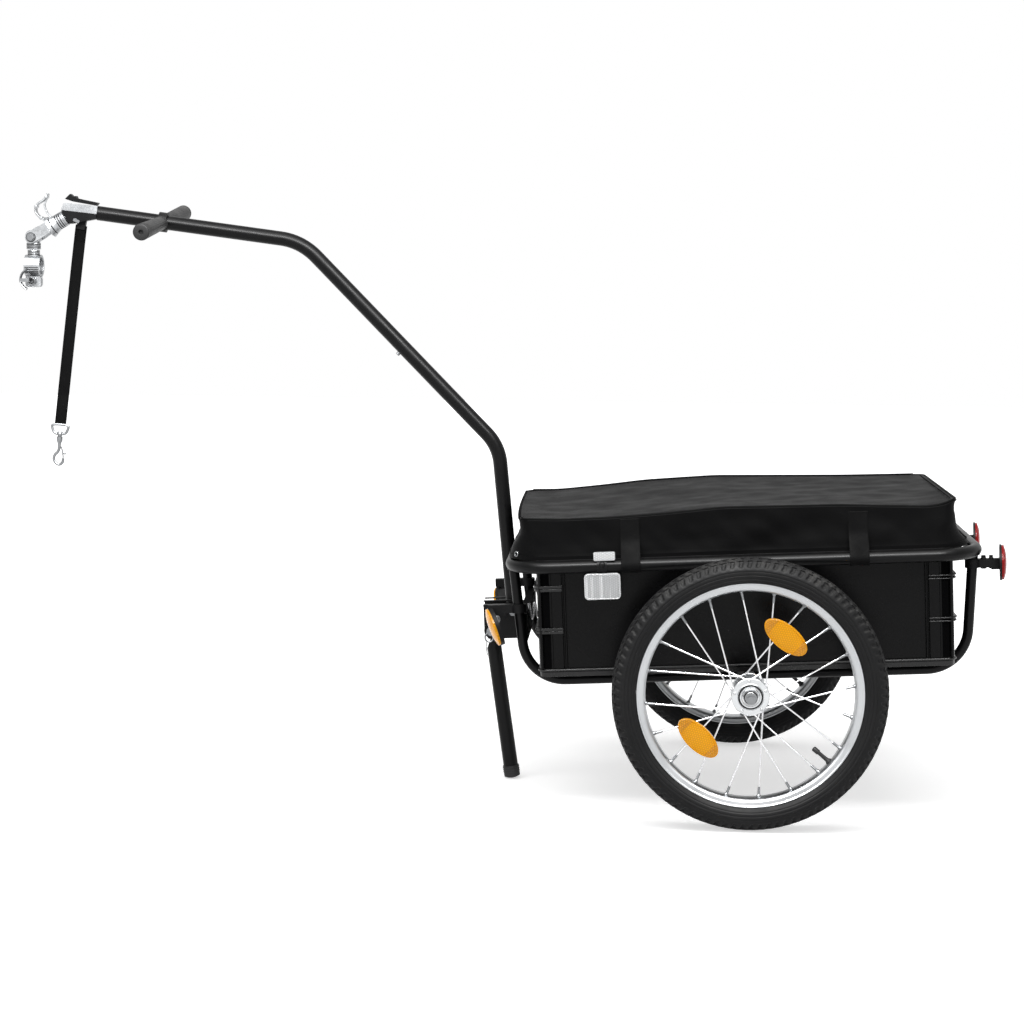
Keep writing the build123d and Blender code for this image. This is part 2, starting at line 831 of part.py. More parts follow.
with BuildPart() as drawbar_pin:
    pin_half = bracket_half_gap + bracket_wall
    with BuildSketch(side_plane(-pin_half - 4, pin_x, pin_z)):
        Circle(pin_radius)
    extrude(amount=-2 * (pin_half + 4))
    for y in (-pin_half - 4.5, pin_half + 0.5):
        with BuildSketch(side_plane(y, pin_x, pin_z)):
            RegularPolygon(6.5, 6, major_radius=False)
        extrude(amount=-4)
finish(drawbar_pin, "drawbar_pin")

# ---------------------------------------------------------------- handle

handle_point = ahead(top_corner, top_rise, handle_place)
handle_line = Vector(0, 1, 0).rotate(Axis.X, handle_twist).rotate(Axis.Z, -handle_yaw)
tube_line = Vector(-cos(radians(top_rise)), 0, sin(radians(top_rise)))
collar_radius = drawbar_tube + collar_wall
handle_start = collar_radius + 1.0


def along_handle(distance):
    """A plane across the handle at a distance from the middle, towards the right end."""
    point = Vector(handle_point[0], 0, handle_point[1]) + handle_line * distance
    return Plane(origin=point, z_dir=handle_line)


def along_top(distance):
    """A plane across the top run of the drawbar, facing forward."""
    point = ahead(top_corner, top_rise, distance)
    return Plane(origin=(point[0], 0, point[1]), x_dir=(0, 1, 0), z_dir=tube_line)


with BuildPart() as handle_collar:
    with BuildSketch(along_top(handle_place - collar_width / 2)):
        Circle(collar_radius)
    extrude(amount=collar_width)
    with BuildSketch(along_handle(-collar_radius - 6)):
        Circle(handle_tube - 1.6)
    extrude(amount=2 * (collar_radius + 6))
    with BuildSketch(along_top(handle_place - collar_width)):
        Circle(drawbar_tube + fit_gap)
    extrude(amount=2 * collar_width, mode=Mode.SUBTRACT)
finish(handle_collar, "handle_collar")

with BuildPart() as handle_bar:
    for sign in (-1, 1):
        with BuildSketch(along_handle(sign * handle_start)):
            Circle(handle_tube)
            Circle(handle_tube - 1.5, mode=Mode.SUBTRACT)
        extrude(amount=sign * (handle_half_length - handle_start - 2))
finish(handle_bar, "handle_bar")

for side, sign in sides:
    with BuildPart() as grip:
        start = handle_half_length - grip_length
        bore = handle_tube + fit_gap
        with BuildSketch(along_handle(sign * start)):
            Circle(grip_neck_radius)
        with BuildSketch(along_handle(sign * handle_half_length)):
            Circle(grip_end_radius)
        loft()
        with BuildSketch(along_handle(sign * start)):
            Circle(bore)
        extrude(amount=sign * (grip_length - 1.9), mode=Mode.SUBTRACT)
    finish(grip, f"{side}_grip")

# ---------------------------------------------------------------- parking leg

leg_line = Vector(sin(radians(leg_lean)), 0, -cos(radians(leg_lean)))
leg_pivot = Vector(leg_pivot_x, 0, leg_pivot_z)
leg_half_width = bracket_half_gap - hinge_gap


def along_leg(distance):
    """A plane across the leg at a distance below its pivot, facing down the leg."""
    return Plane(origin=leg_pivot + leg_line * distance, x_dir=(0, 1, 0), z_dir=leg_line)


def beside_leg(distance, ahead_by):
    """A point of the side view, given down the leg from its pivot and ahead of it."""
    point = leg_pivot + leg_line * distance + Vector(leg_line.Z, 0, -leg_line.X) * ahead_by
    return (point.X, point.Z)


cap_start = leg_length + foot_dome - foot_height
with BuildPart() as stand_leg:
    with BuildSketch(along_leg(0)):
        Circle(leg_tube)
    extrude(amount=cap_start + foot_height - 5)
    with BuildSketch(side_plane(-leg_half_width, leg_pivot_x, leg_pivot_z)):
        Circle(leg_tube)
    extrude(amount=-2 * leg_half_width)
    with BuildSketch(along_leg(leg_collar)):
        Circle(leg_tube - leg_wall)
    extrude(amount=cap_start + foot_height, mode=Mode.SUBTRACT)
    with BuildSketch(side_plane(-leg_half_width - 1)):
        with BuildLine():
            Polyline(
                beside_leg(leg_tube - 3, leg_tube + 3),
                beside_leg(leg_tube - 3, leg_tube - leg_bevel + 2),
                beside_leg(leg_tube + 1, leg_tube - leg_bevel),
                beside_leg(leg_collar - 4, leg_tube),
                beside_leg(leg_collar - 4, leg_tube + 3),
                close=True,
            )
        make_face()
    extrude(amount=-2 * leg_half_width - 2, mode=Mode.SUBTRACT)
    with BuildSketch(side_plane(-leg_half_width - 1, leg_pivot_x, leg_pivot_z)):
        Circle(leg_pin_radius + running_gap)
    extrude(amount=-2 * leg_half_width - 2, mode=Mode.SUBTRACT)
finish(stand_leg, "stand_leg")

with BuildPart() as stand_foot:
    with BuildSketch(along_leg(cap_start)):
        Circle(foot_radius)
    extrude(amount=foot_height)
    with Locations(along_leg(leg_length)):
        Sphere(foot_dome, mode=Mode.INTERSECT)
    with BuildSketch(along_leg(cap_start)):
        Circle(leg_tube + fit_gap)
    extrude(amount=foot_height - 5 + fit_gap, mode=Mode.SUBTRACT)
finish(stand_foot, "stand_foot")

with BuildPart() as stand_pins:
    pin_half = bracket_half_gap + bracket_wall
    with BuildSketch(side_plane(-pin_half - 3, leg_pivot_x, leg_pivot_z)):
        Circle(leg_pin_radius)
    extrude(amount=-2 * (pin_half + 3))
    for y in (-pin_half - 4.5, pin_half + 0.5):
        with BuildSketch(side_plane(y, leg_pivot_x, leg_pivot_z)):
            Circle(7.0)
        extrude(amount=-4)
    with BuildSketch(side_plane(-pin_half - 2, *stop_point)):
        Circle(stop_radius)
    extrude(amount=-2 * (pin_half + 2))
finish(stand_pins, "stand_pins")

# ---------------------------------------------------------------- frame reflectors

reflector_y = ring_half_width + ring_tube + 3.0
reflector_width, reflector_height, reflector_depth = side_reflector_size
tab_width, tab_height, tab_depth = side_tab_size
reflector_top = ring_height - ring_tube
tab_z = ring_height + ring_tube - 0.5 + tab_height / 2
with BuildPart() as side_reflectors:
    for _, sign in sides:
        back = sign * (reflector_y - reflector_depth)
        centre_z = reflector_top - reflector_height / 2
        with BuildSketch(side_plane(back, side_reflector_x, centre_z)):
            RectangleRounded(reflector_width, reflector_height, 6)
        extrude(amount=-sign * reflector_depth)
        with BuildSketch(side_plane(back, side_reflector_x + side_tab_shift, tab_z)):
            RectangleRounded(tab_width, tab_height, 2)
        extrude(amount=-sign * tab_depth)
    with BuildSketch(Plane.YZ.offset(side_reflector_x - reflector_width)):
        with Locations((-ring_half_width, ring_height), (ring_half_width, ring_height)):
            Circle(ring_tube + clip_wall + fit_gap)
    extrude(amount=2 * reflector_width, mode=Mode.SUBTRACT)
finish(side_reflectors, "side_reflectors")

with BuildPart() as side_reflector_clips:
    tongue_back = ring_half_width - 0.5
    tongue_depth = reflector_y - reflector_depth - fit_gap - tongue_back
    for _, sign in sides:
        with BuildSketch(Plane.YZ.offset(side_reflector_x - clip_width / 2)):
            with Locations((sign * ring_half_width, ring_height)):
                Circle(ring_tube + clip_wall)
            with Locations((sign * tongue_back, ring_height - 2 * ring_tube)):
                Rectangle(
                    tongue_depth,
                    4 * ring_tube,
                    align=(Align.MIN if sign > 0 else Align.MAX, Align.MIN),
                )
            with Locations((sign * ring_half_width, ring_height)):
                Circle(ring_tube + fit_gap, mode=Mode.SUBTRACT)
        extrude(amount=clip_width)
finish(side_reflector_clips, "side_reflector_clips")


def lens_plane(sign, end, height, tilt, arm, drop, turn):
    """The back of a round reflector that stands off an upright, turned outwards."""
    level = cos(radians(tilt))
    outward = sign * sin(radians(turn))
    return Plane(
        origin=(end * (hoop_x(height) + hoop_tube + arm), sign * hoop_offset, height - drop),
        x_dir=(-outward, end * cos(radians(turn)), 0),
        z_dir=(end * level * cos(radians(turn)), level * outward, -sin(radians(tilt))),
    )


def build_reflectors(place, end, height, radius, lens_back, tilt, places):
    arm_side = Align.MIN if end > 0 else Align.MAX
    with BuildPart() as brackets:
        for side, sign in sides:
            arm, drop, _ = places[side]
            reach = arm + drop * sin(radians(tilt)) / cos(radians(tilt)) + hoop_tube + lens_back
            with BuildSketch(Plane.XY.offset(height - clamp_height / 2)):
                with Locations((end * hoop_x(height), sign * hoop_offset)):
                    Circle(hoop_tube + 3.5)
                    Rectangle(reach, arm_width, align=(arm_side, Align.CENTER))
            extrude(amount=clamp_height)
            with BuildSketch(Plane.XY.offset(height - arm_block_drop - arm_block / 2)):
                block_x = end * (hoop_x(height) + hoop_tube + arm - 3)
                with Locations((block_x, sign * hoop_offset)):
                    Rectangle(arm_block + lens_back, arm_width)
            extrude(amount=arm_block)
        for hoop_solid in hoops.values():
            add(hoop_solid.part, mode=Mode.SUBTRACT)
        for side, sign in sides:
            back = lens_plane(sign, end, height, tilt, *places[side])
            with BuildSketch(back.offset(lens_back)):
                Rectangle(3 * radius, 3 * radius)
            extrude(amount=30, mode=Mode.SUBTRACT)
            with BuildSketch(back):
                Circle(radius)
            extrude(amount=lens_back)
    finish(brackets, f"{place}_brackets")
    with BuildPart() as lenses:
        for side, sign in sides:
            back = lens_plane(sign, end, height, tilt, *places[side])
            with BuildSketch(back.offset(lens_back + fit_gap)):
                Circle(radius - 1)
            extrude(amount=lens_depth - fit_gap, taper=18)
    finish(lenses, f"{place}_reflectors")


build_reflectors(
    "front",
    -1,
    front_reflector_z,
    front_lens_radius,
    front_lens_back,
    front_lens_tilt,
    front_lens_places,
)
build_reflectors(
    "rear",
    1,
    rear_reflector_z,
    rear_lens_radius,
    rear_lens_back,
    rear_lens_tilt,
    rear_lens_places,
)

# ---------------------------------------------------------------- coupler

barrel_line = Vector(-cos(radians(barrel_drop)), 0, -sin(radians(barrel_drop)))
pull_line = Vector(hang_z, 0, -hang_x)  # straight ahead when parked, in the level frame
hang_line = Vector(hang_x, 0, hang_z)


def along_barrel(distance):
    """A plane across the barrel at a distance from its back end, facing forward."""
    origin = Vector(barrel_start[0], 0, barrel_start[1]) + barrel_line * distance
    return Plane(origin=origin, x_dir=(0, 1, 0), z_dir=barrel_line)


def ahead_of_barrel(along, across):
    """A point given along the barrel from its back end and across it, upwards."""
    return ahead(ahead(barrel_start, -barrel_drop, along), 90 - barrel_drop, across)


def below_pin(drop):
    """A level plane below the hitch pin when parked, facing down."""
    point = below_hitch(drop)
    return Plane(origin=(point[0], 0, point[1]), x_dir=(0, 1, 0), z_dir=hang_line)


def side_slab(outline, half_width):
    """A flat piece with an outline in the XZ plane, centred on the middle plane."""
    with BuildPart() as slab:
        with BuildSketch(side_plane(-half_width)):
            with BuildLine():
                Polyline(*outline, close=True)
            make_face()
        extrude(amount=-2 * half_width)
    return slab


with BuildPart() as coupler_sleeve:
    add(side_slab([ahead_of_tube(*point) for point in sleeve_outline], sleeve_half_width).part)
    with BuildSketch(along_barrel(0)):
        Rectangle(100, 100)
    extrude(amount=60, mode=Mode.SUBTRACT)
    with BuildSketch(along_top(top_run - 30)):
        Circle(drawbar_tube - drawbar_wall - fit_gap)
    extrude(amount=30 + fit_gap)
    with BuildSketch(along_barrel(-20)):
        Circle(stub_radius)
    extrude(amount=20 + 20)
finish(coupler_sleeve, "coupler_sleeve")

with BuildPart() as coupler_boot:
    add(side_slab([ahead_of_tube(*point) for point in boot_outline], boot_half_width).part)
    with BuildSketch(along_barrel(0)):
        Rectangle(100, 100)
    extrude(amount=60, mode=Mode.SUBTRACT)
    with BuildSketch(along_barrel(-20)):
        Circle(stub_radius + fit_gap)
    extrude(amount=30, mode=Mode.SUBTRACT)
    with BuildSketch(along_top(top_run - 1)):
        Circle(drawbar_tube - drawbar_wall)
    extrude(amount=1 + 2 * fit_gap, mode=Mode.SUBTRACT)
finish(coupler_boot, "coupler_boot")

finish(
    side_slab([ahead_of_tube(*point) for point in latch_outline], latch_half_width),
    "coupler_latch",
)

# ---------------------------------------------------------------- hitch

ear_inner = knuckle_half_width + 1.5
with BuildPart() as hitch_barrel:
    with BuildSketch(along_barrel(hinge_gap)):
        Circle(barrel_radius)
    extrude(amount=barrel_length / 2 - hinge_gap)
    with BuildSketch(along_barrel(barrel_length / 2)):
        Circle(barrel_radius)
    with BuildSketch(along_barrel(barrel_length)):
        Circle(bell_radius)
    loft()
    for y in (-ear_inner - ear_thickness, ear_inner):
        ear_plane = Plane(
            origin=(hitch_point[0], y + ear_thickness, hitch_point[1]),
            x_dir=barrel_line,
            z_dir=(0, -1, 0),
        )
        with BuildSketch(ear_plane):
            Circle(ear_radius)
            Rectangle(hitch_arm + 2, 2 * ear_radius, align=(Align.MAX, Align.CENTER))
            Circle(hitch_pin_radius + fit_gap, mode=Mode.SUBTRACT)
        extrude(amount=ear_thickness)
    with BuildSketch(along_barrel(0)):
        Circle(stub_radius + running_gap)
    extrude(amount=20 + hinge_gap, mode=Mode.SUBTRACT)
finish(hitch_barrel, "hitch_barrel")

with BuildPart() as hitch_guard:
    with BuildSketch(side_plane(-guard_half_width)):
        with BuildLine():
            guard_line = FilletPolyline(
                *[ahead_of_barrel(*point) for point in guard_route],
                radius=5.0,
            )
            offset(guard_line, amount=guard_thickness / 2)
        make_face()
    extrude(amount=-2 * guard_half_width)
    with BuildSketch(along_barrel(0)):
        Circle(barrel_radius + fit_gap)
    extrude(amount=barrel_length / 2, mode=Mode.SUBTRACT)
    with BuildSketch(along_barrel(barrel_length / 2)):
        Circle(barrel_radius + fit_gap)
    with BuildSketch(along_barrel(barrel_length)):
        Circle(bell_radius + fit_gap)
    loft(mode=Mode.SUBTRACT)
finish(hitch_guard, "hitch_guard")

with BuildPart() as hitch_pin:
    pin_half = ear_inner + ear_thickness
    with BuildSketch(side_plane(-pin_half - 3, *hitch_point)):
        Circle(hitch_pin_radius)
    extrude(amount=-2 * (pin_half + 3))
    for y in (-pin_half - 4, pin_half + 0.5):
        with BuildSketch(side_plane(y, *hitch_point)):
            Circle(6.5)
        extrude(amount=-3.5)
finish(hitch_pin, "hitch_pin")

with BuildPart() as hitch_knuckle:
    with BuildSketch(side_plane(-knuckle_half_width, *hitch_point)):
        Circle(knuckle_radius)
    extrude(amount=-2 * knuckle_half_width)
    with BuildSketch(below_pin(0)):
        Circle(knuckle_half_width)
    extrude(amount=knuckle_drop)
    with BuildSketch(side_plane(-knuckle_half_width - 1, *hitch_point)):
        Circle(hitch_pin_radius + running_gap)
    extrude(amount=-2 * (knuckle_half_width + 1), mode=Mode.SUBTRACT)
    with BuildSketch(below_pin(stud_top - hinge_gap)):
        Circle(swivel_radius + running_gap)
    extrude(amount=knuckle_drop, mode=Mode.SUBTRACT)
finish(hitch_knuckle, "hitch_knuckle")

post_drop = neck_drop + clamp_wall + post_radius
bolt_drop = post_drop + post_radius + clamp_ear_drop * 0.6
clamp_outer = post_radius + clamp_wall
post_point = below_hitch(post_drop)
post_plane = Plane(
    origin=(post_point[0], 0, post_point[1]),
    x_dir=(0, 1, 0),
    z_dir=-pull_line,
)
with BuildPart() as seat_post_clamp:
    with BuildSketch(below_pin(stud_top)):
        Circle(swivel_radius)
    extrude(amount=neck_drop - stud_top)
    with BuildSketch(below_pin(knuckle_drop + hinge_gap)):
        Circle(neck_radius)
    extrude(amount=neck_drop - knuckle_drop + clamp_wall - 1.5)
    with BuildSketch(post_plane.offset(-clamp_length / 2)):
        Circle(clamp_outer)
        Rectangle(
            2 * clamp_ear_width,
            clamp_outer + clamp_ear_drop,
            align=(Align.CENTER, Align.MAX),
        )
    extrude(amount=clamp_length)
    with BuildSketch(post_plane.offset(-clamp_length)):
        Circle(post_radius)
        Rectangle(
            clamp_slit,
            2 * clamp_outer + clamp_ear_drop,
            align=(Align.CENTER, Align.MAX),
        )
    extrude(amount=2 * clamp_length, mode=Mode.SUBTRACT)
    with BuildSketch(side_plane(-2 * clamp_outer, *below_hitch(bolt_drop))):
        Circle(clamp_bolt_radius + fit_gap)
    extrude(amount=-4 * clamp_outer, mode=Mode.SUBTRACT)
finish(seat_post_clamp, "seat_post_clamp")

with BuildPart() as clamp_bolt:
    with BuildSketch(side_plane(-clamp_ear_width - 5, *below_hitch(bolt_drop))):
        Circle(clamp_bolt_radius)
    extrude(amount=-2 * clamp_ear_width - 5 - 5)
    with BuildSketch(side_plane(clamp_ear_width + fit_gap, *below_hitch(bolt_drop))):
        RegularPolygon(5.0, 6, major_radius=False)
    extrude(amount=-4)
finish(clamp_bolt, "clamp_bolt")

with BuildPart() as clamp_lever:
    hub_start = -clamp_ear_width - fit_gap
    with BuildSketch(side_plane(hub_start, *below_hitch(bolt_drop))):
        Circle(lever_hub_radius)
    extrude(amount=lever_reach)
    with BuildSketch(side_plane(hub_start - lever_reach, 0, 0)):
        with BuildLine():
            lever_line = ThreePointArc(
                below_hitch(lever_top, lever_tip),
                below_hitch(bolt_drop - 3.0, lever_belly),
                below_hitch(lever_bottom, lever_tip),
            )
            offset(lever_line, amount=lever_thickness / 2)
        make_face()
        with BuildLine():
            Polyline(
                below_hitch(bolt_drop - lever_hub_radius, 0.0),
                below_hitch(bolt_drop - 6.0, lever_belly),
                below_hitch(bolt_drop, lever_belly),
                below_hitch(bolt_drop + lever_hub_radius, 0.0),
                close=True,
            )
        make_face()
    extrude(amount=lever_width)
    with BuildSketch(side_plane(hub_start - 6, *below_hitch(bolt_drop))):
        Circle(clamp_bolt_radius + fit_gap)
    extrude(amount=-10, mode=Mode.SUBTRACT)
finish(clamp_lever, "clamp_lever")

# ---------------------------------------------------------------- safety tether

strap_top = ahead_of_tube(*tether_start)
strap_bend = ahead(strap_top, tether_lead_lean - 90, tether_lead)
strap_end = ahead(strap_bend, tether_lean - 90, tether_run)
lead_line = Vector(-sin(radians(tether_lead_lean)), 0, -cos(radians(tether_lead_lean)))
with BuildPart() as tether_strap:
    with BuildLine() as strap_path:
        strap_points = [(x, 0, z) for x, z in (strap_top, strap_bend, strap_end)]
        FilletPolyline(*strap_points, radius=tether_bend)
    with BuildSketch(Plane(strap_points[0], x_dir=(0, 1, 0), z_dir=lead_line)):
        Rectangle(tether_thickness, tether_width)
    sweep()
finish(tether_strap, "tether_strap")

with BuildPart() as tether_anchor:
    with BuildSketch(Plane(strap_points[0], x_dir=(0, 1, 0), z_dir=lead_line).offset(-12)):
        Rectangle(tether_thickness + 5, 13)
    extrude(amount=18)
    add(side_slab([ahead_of_tube(*point) for point in boot_outline], 20).part, mode=Mode.SUBTRACT)
    with BuildSketch(Plane(strap_points[0], x_dir=(0, 1, 0), z_dir=lead_line).offset(-fit_gap)):
        Rectangle(tether_thickness + 2 * fit_gap, 2 * tether_width)
    extrude(amount=20, mode=Mode.SUBTRACT)
finish(tether_anchor, "tether_anchor")


def hook_point(drop, across):
    """A point of the hook, below the strap's end and across its line, rearwards."""
    point = ahead(strap_end, hook_lean - 90, drop)
    return ahead(point, 180 + hook_lean, across)


hook_line = Vector(-sin(radians(hook_lean)), 0, -cos(radians(hook_lean)))
stem_top = hook_point(hook_ring[-1][0] - 3.0, 0.0)
stem_plane = Plane(origin=(stem_top[0], 0, stem_top[1]), x_dir=(0, 1, 0), z_dir=hook_line)
with BuildPart() as snap_hook:
    with BuildSketch(side_plane(-hook_wire)):
        with BuildLine():
            FilletPolyline(*[hook_point(*place) for place in hook_ring], radius=5.0, close=True)
        make_face()
        with BuildLine():
            FilletPolyline(*[hook_point(*place) for place in hook_eye], radius=1.5, close=True)
        make_face(mode=Mode.SUBTRACT)
        with BuildLine():
            bend_line = FilletPolyline(*[hook_point(*place) for place in hook_route], radius=5.0)
            offset(bend_line, amount=hook_wire)
        make_face()
    extrude(amount=-2 * hook_wire)
    with BuildSketch(stem_plane):
        Circle(4.2)
    extrude(amount=8)
    with BuildSketch(stem_plane):
        Circle(2.8)
    extrude(amount=stem_length)
finish(snap_hook, "snap_hook")
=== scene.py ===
"""Finishes a two-wheeled bicycle cargo trailer, piece by piece, around its fixed frame."""

import json
from math import atan2, copysign, cos, hypot, pi, radians, sin

import bmesh
import bpy
import numpy as np
from mathutils import Matrix, Vector, noise
from mathutils.geometry import tessellate_polygon


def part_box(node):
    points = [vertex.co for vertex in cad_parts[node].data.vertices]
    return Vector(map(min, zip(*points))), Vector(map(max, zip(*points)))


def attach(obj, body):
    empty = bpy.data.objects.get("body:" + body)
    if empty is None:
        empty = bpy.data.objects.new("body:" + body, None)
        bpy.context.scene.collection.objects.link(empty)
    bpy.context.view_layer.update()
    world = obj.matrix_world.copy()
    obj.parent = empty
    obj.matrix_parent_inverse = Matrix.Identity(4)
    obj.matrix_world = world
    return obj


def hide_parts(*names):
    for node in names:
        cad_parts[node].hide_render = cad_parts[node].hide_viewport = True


bl_info = {
    "name": "Bicycle Cargo Trailer",
    "version": (1, 0, 0),
    "blender": (4, 5, 0),
    "location": "View3D > Sidebar > Trailer",
    "description": "Finishes a bicycle cargo trailer around its fixed frame",
    "category": "Object",
}

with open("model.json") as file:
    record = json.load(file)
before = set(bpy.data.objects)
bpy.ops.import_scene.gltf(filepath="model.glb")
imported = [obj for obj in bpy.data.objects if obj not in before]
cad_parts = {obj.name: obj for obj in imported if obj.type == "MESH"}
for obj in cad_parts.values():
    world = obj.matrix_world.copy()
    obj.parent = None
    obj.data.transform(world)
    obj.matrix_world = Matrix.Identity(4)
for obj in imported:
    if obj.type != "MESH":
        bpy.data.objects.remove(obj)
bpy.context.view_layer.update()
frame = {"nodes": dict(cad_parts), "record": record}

MM = 0.001
SIDES = (("left", -1), ("right", 1))
ACROSS, UP = (0, 1, 0), (0, 0, 1)


def level_matrix():
    """Where the level drawing stands, in metres, when the trailer rests on its leg."""
    mounts = frame["record"]["mounts"]
    lean = next(mount["axis"] for mount in mounts if mount["name"] == "cargo_floor")
    low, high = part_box("left_rim")
    axle = (low + high) / 2
    rows = ((lean[2], 0, lean[0], axle.x), (0, 1, 0, 0), (-lean[0], 0, lean[2], axle.z), (0, 0, 0, 1))
    return Matrix(rows)


LEVEL = level_matrix()

# ------------------------------------------------------------------ sizes and colours


def colour_of(label, about, colour):
    """A colour property."""
    return bpy.props.FloatVectorProperty(
        name=label, description=about, default=colour, min=0.0, max=1.0, size=3, subtype="COLOR"
    )


def length_of(label, millimetres, about):
    """A length property, given in millimetres and kept in metres."""
    return bpy.props.FloatProperty(
        name=label, description=about, default=millimetres * MM, min=0.0, unit="LENGTH", precision=4
    )


def share_of(label, value, about):
    """A property from 0 to 1."""
    return bpy.props.FloatProperty(
        name=label, description=about, default=value, min=0.0, max=1.0, subtype="FACTOR"
    )


class TrailerColours(bpy.types.PropertyGroup):
    """Base colours of the trailer's finishes."""

    black_steel: colour_of("Frame paint", "Powder coat on the tubes", (0.0025, 0.0025, 0.0028))
    handle_steel: colour_of("Handle paint", "Powder coat on the handle", (0.0025, 0.0025, 0.0028))
    dull_steel: colour_of("Dull steel", "Unpolished paint of the crossbar", (0.002, 0.002, 0.0022))
    zinc_steel: colour_of("Zinc", "Plating on nuts, pins and the hook", (0.2, 0.206, 0.212))
    hitch_alloy: colour_of("Hitch alloy", "Cast metal of the hitch", (0.32, 0.328, 0.336))
    rim_alloy: colour_of("Rim alloy", "Metal of the rims", (0.4, 0.41, 0.42))
    hub_steel: colour_of("Hub chrome", "Plating on the hubs", (0.5, 0.51, 0.52))
    spoke_steel: colour_of("Spoke wire", "Drawn wire of the spokes", (0.68, 0.68, 0.69))
    tyre_black: colour_of("Tyre rubber", "Rubber of the tyres", (0.01, 0.01, 0.0105))
    valve_rubber: colour_of("Valve rubber", "Rubber of the valves", (0.01, 0.01, 0.0105))
    grip_rubber: colour_of("Grip rubber", "Rubber of the hand grips", (0.008, 0.008, 0.0085))
    box_plastic: colour_of("Box plastic", "Moulded walls of the box", (0.0022, 0.0022, 0.0024))
    # Dark, dull strips on the posts paint the shade in their channels.
    channel_shade_plastic: colour_of("Post channels", "Dull channels of the posts", (0.0016, 0.0016, 0.0018))
    # Paler than the box's walls, to paint the light lines of the ribs' highlights.
    rib_highlight_plastic: colour_of("Rib edges", "Rubbed ribs of the box", (0.004, 0.004, 0.0042))
    black_plastic: colour_of("Fittings", "Moulded clips and brackets", (0.006, 0.006, 0.0065))
    cover_fabric: colour_of("Cover cloth", "Coated cloth of the cover", (0.0018, 0.0018, 0.002))
    dark_binding: colour_of("Cover binding", "Bound edges of the cover", (0.0016, 0.0016, 0.0018))
    webbing: colour_of("Webbing", "Woven straps", (0.0018, 0.0018, 0.002))
    amber_lens: colour_of("Amber lens", "Reflectors on the spokes", (0.98, 0.42, 0.008))
    amber_ends: colour_of("Reflector ends", "Clipped ends of those reflectors", (0.8, 0.33, 0.008))
    red_lens: colour_of("Red lens", "Round rear reflectors", (0.36, 0.015, 0.015))
    clear_lens: colour_of("Clear lens", "Side reflectors", (0.86, 0.87, 0.88))
    clear_bands: colour_of("Reflector bands", "Darker bands of the side ones", (0.6, 0.61, 0.62))


class TrailerSizes(bpy.types.PropertyGroup):
    """Sizes of the detail that is built onto the frame."""

    tread_depth: length_of("Tread depth", 2.0, "Depth of the grooves between the tyre's blocks")
    tread_blocks: bpy.props.IntProperty(
        name="Tread blocks", description="Blocks in one row round a tyre", default=96, min=24, max=160
    )
    cover_sag: length_of("Cover sag", 2.4, "How far the cover's top hangs between its edges")
    cover_ripple: length_of("Cover ripple", 1.6, "Height of the folds in the cover")
    cloth_thickness: length_of("Cloth thickness", 1.2, "Thickness of the cover's cloth")
    thread_pitch: length_of("Thread pitch", 0.7, "Distance between threads in the cloth")
    strap_width: length_of("Strap width", 28.0, "Width of the cover's straps")
    tether_width: length_of("Tether width", 18.0, "Width of the safety strap")
    tether_thickness: length_of("Tether thickness", 2.2, "Thickness of the safety strap")
    edge_round: length_of("Edge rounding", 0.6, "Rounding of moulded and pressed edges")
    wear: share_of("Wear", 0.35, "How much handling shows on painted and moulded faces")
    dust: share_of("Dust", 0.12, "How much dust lies on the faces that look up")


class TrailerStage(bpy.types.PropertyGroup):
    """Floor, light and camera."""

    floor_colour: colour_of("Floor", "Colour of the pale floor", (0.8, 0.8, 0.8))
    lamp_height: length_of("Lamp height", 2200.0, "Height of the long lamp over the floor")
    lamp_power: bpy.props.FloatProperty(
        name="Lamp power", description="Power of the long lamp", default=42.0, unit="POWER"
    )
    fill: share_of("Fill", 0.62, "Level of the soft light from all round")
    floor_lift: share_of("Floor lift", 0.55, "How far the floor is lifted to white where it is looked at")
    lens: bpy.props.FloatProperty(
        name="Lens", description="Focal length in millimetres", default=82.936, min=10.0
    )


# ------------------------------------------------------------------ shapes, in level mm


def join(parts):
    """Several shapes, each its points and faces, as one."""
    points, faces = [], []
    for part_points, part_faces in parts:
        base = len(points)
        points.extend(tuple(p) for p in part_points)
        faces.extend(tuple(i + base for i in face) for face in part_faces)
    return points, faces


def axes_of(origin, z_dir, x_dir=None):
    """A matrix whose Z runs along z_dir, and whose X lies as near x_dir as it can."""
    z = Vector(z_dir).normalized()
    x = Vector(x_dir) if x_dir is not None else z.orthogonal()
    x = (x - z * x.dot(z)).normalized()
    y = z.cross(x)
    return Matrix.Translation(Vector(origin)) @ Matrix((x, y, z)).transposed().to_4x4()


def shifted(matrix, x, y, z):
    """A matrix moved along its own axes."""
    return matrix @ Matrix.Translation((x, y, z))


def upright(point, y=0.0):
    """A point of the side view at a place across the trailer."""
    return Vector((point[0], y, point[1]))


def ahead(point, angle, distance):
    """The point reached from another at an angle above the forward direction."""
    return (point[0] - distance * cos(radians(angle)), point[1] + distance * sin(radians(angle)))


def ellipse(wide, high, degrees):
    """Points of an ellipse at some angles."""
    return [(wide * cos(radians(t)), high * sin(radians(t))) for t in degrees]


def circle(radius, count):
    """Points round a circle."""
    return ellipse(radius, radius, [360 * i / count for i in range(count)])


def oblong(half_wide, half_high):
    """The corners of a rectangle."""
    return both_ways([(half_wide, -half_high), (half_wide, half_high)])


def both_ways(half):
    """Points followed by their mirror images, so that the outline closes."""
    return [*half, *((-a, b) for a, b in reversed(half))]


def rounded(width, height, corner):
    """Points round a rectangle with round corners."""
    points = []
    for index, (sx, sy) in enumerate(((1, 1), (-1, 1), (-1, -1), (1, -1))):
        middle = (sx * (width / 2 - corner), sy * (height / 2 - corner))
        turns = [90 * index + 18 * step for step in range(6)]
        points.extend((middle[0] + x, middle[1] + y) for x, y in ellipse(corner, corner, turns))
    return points


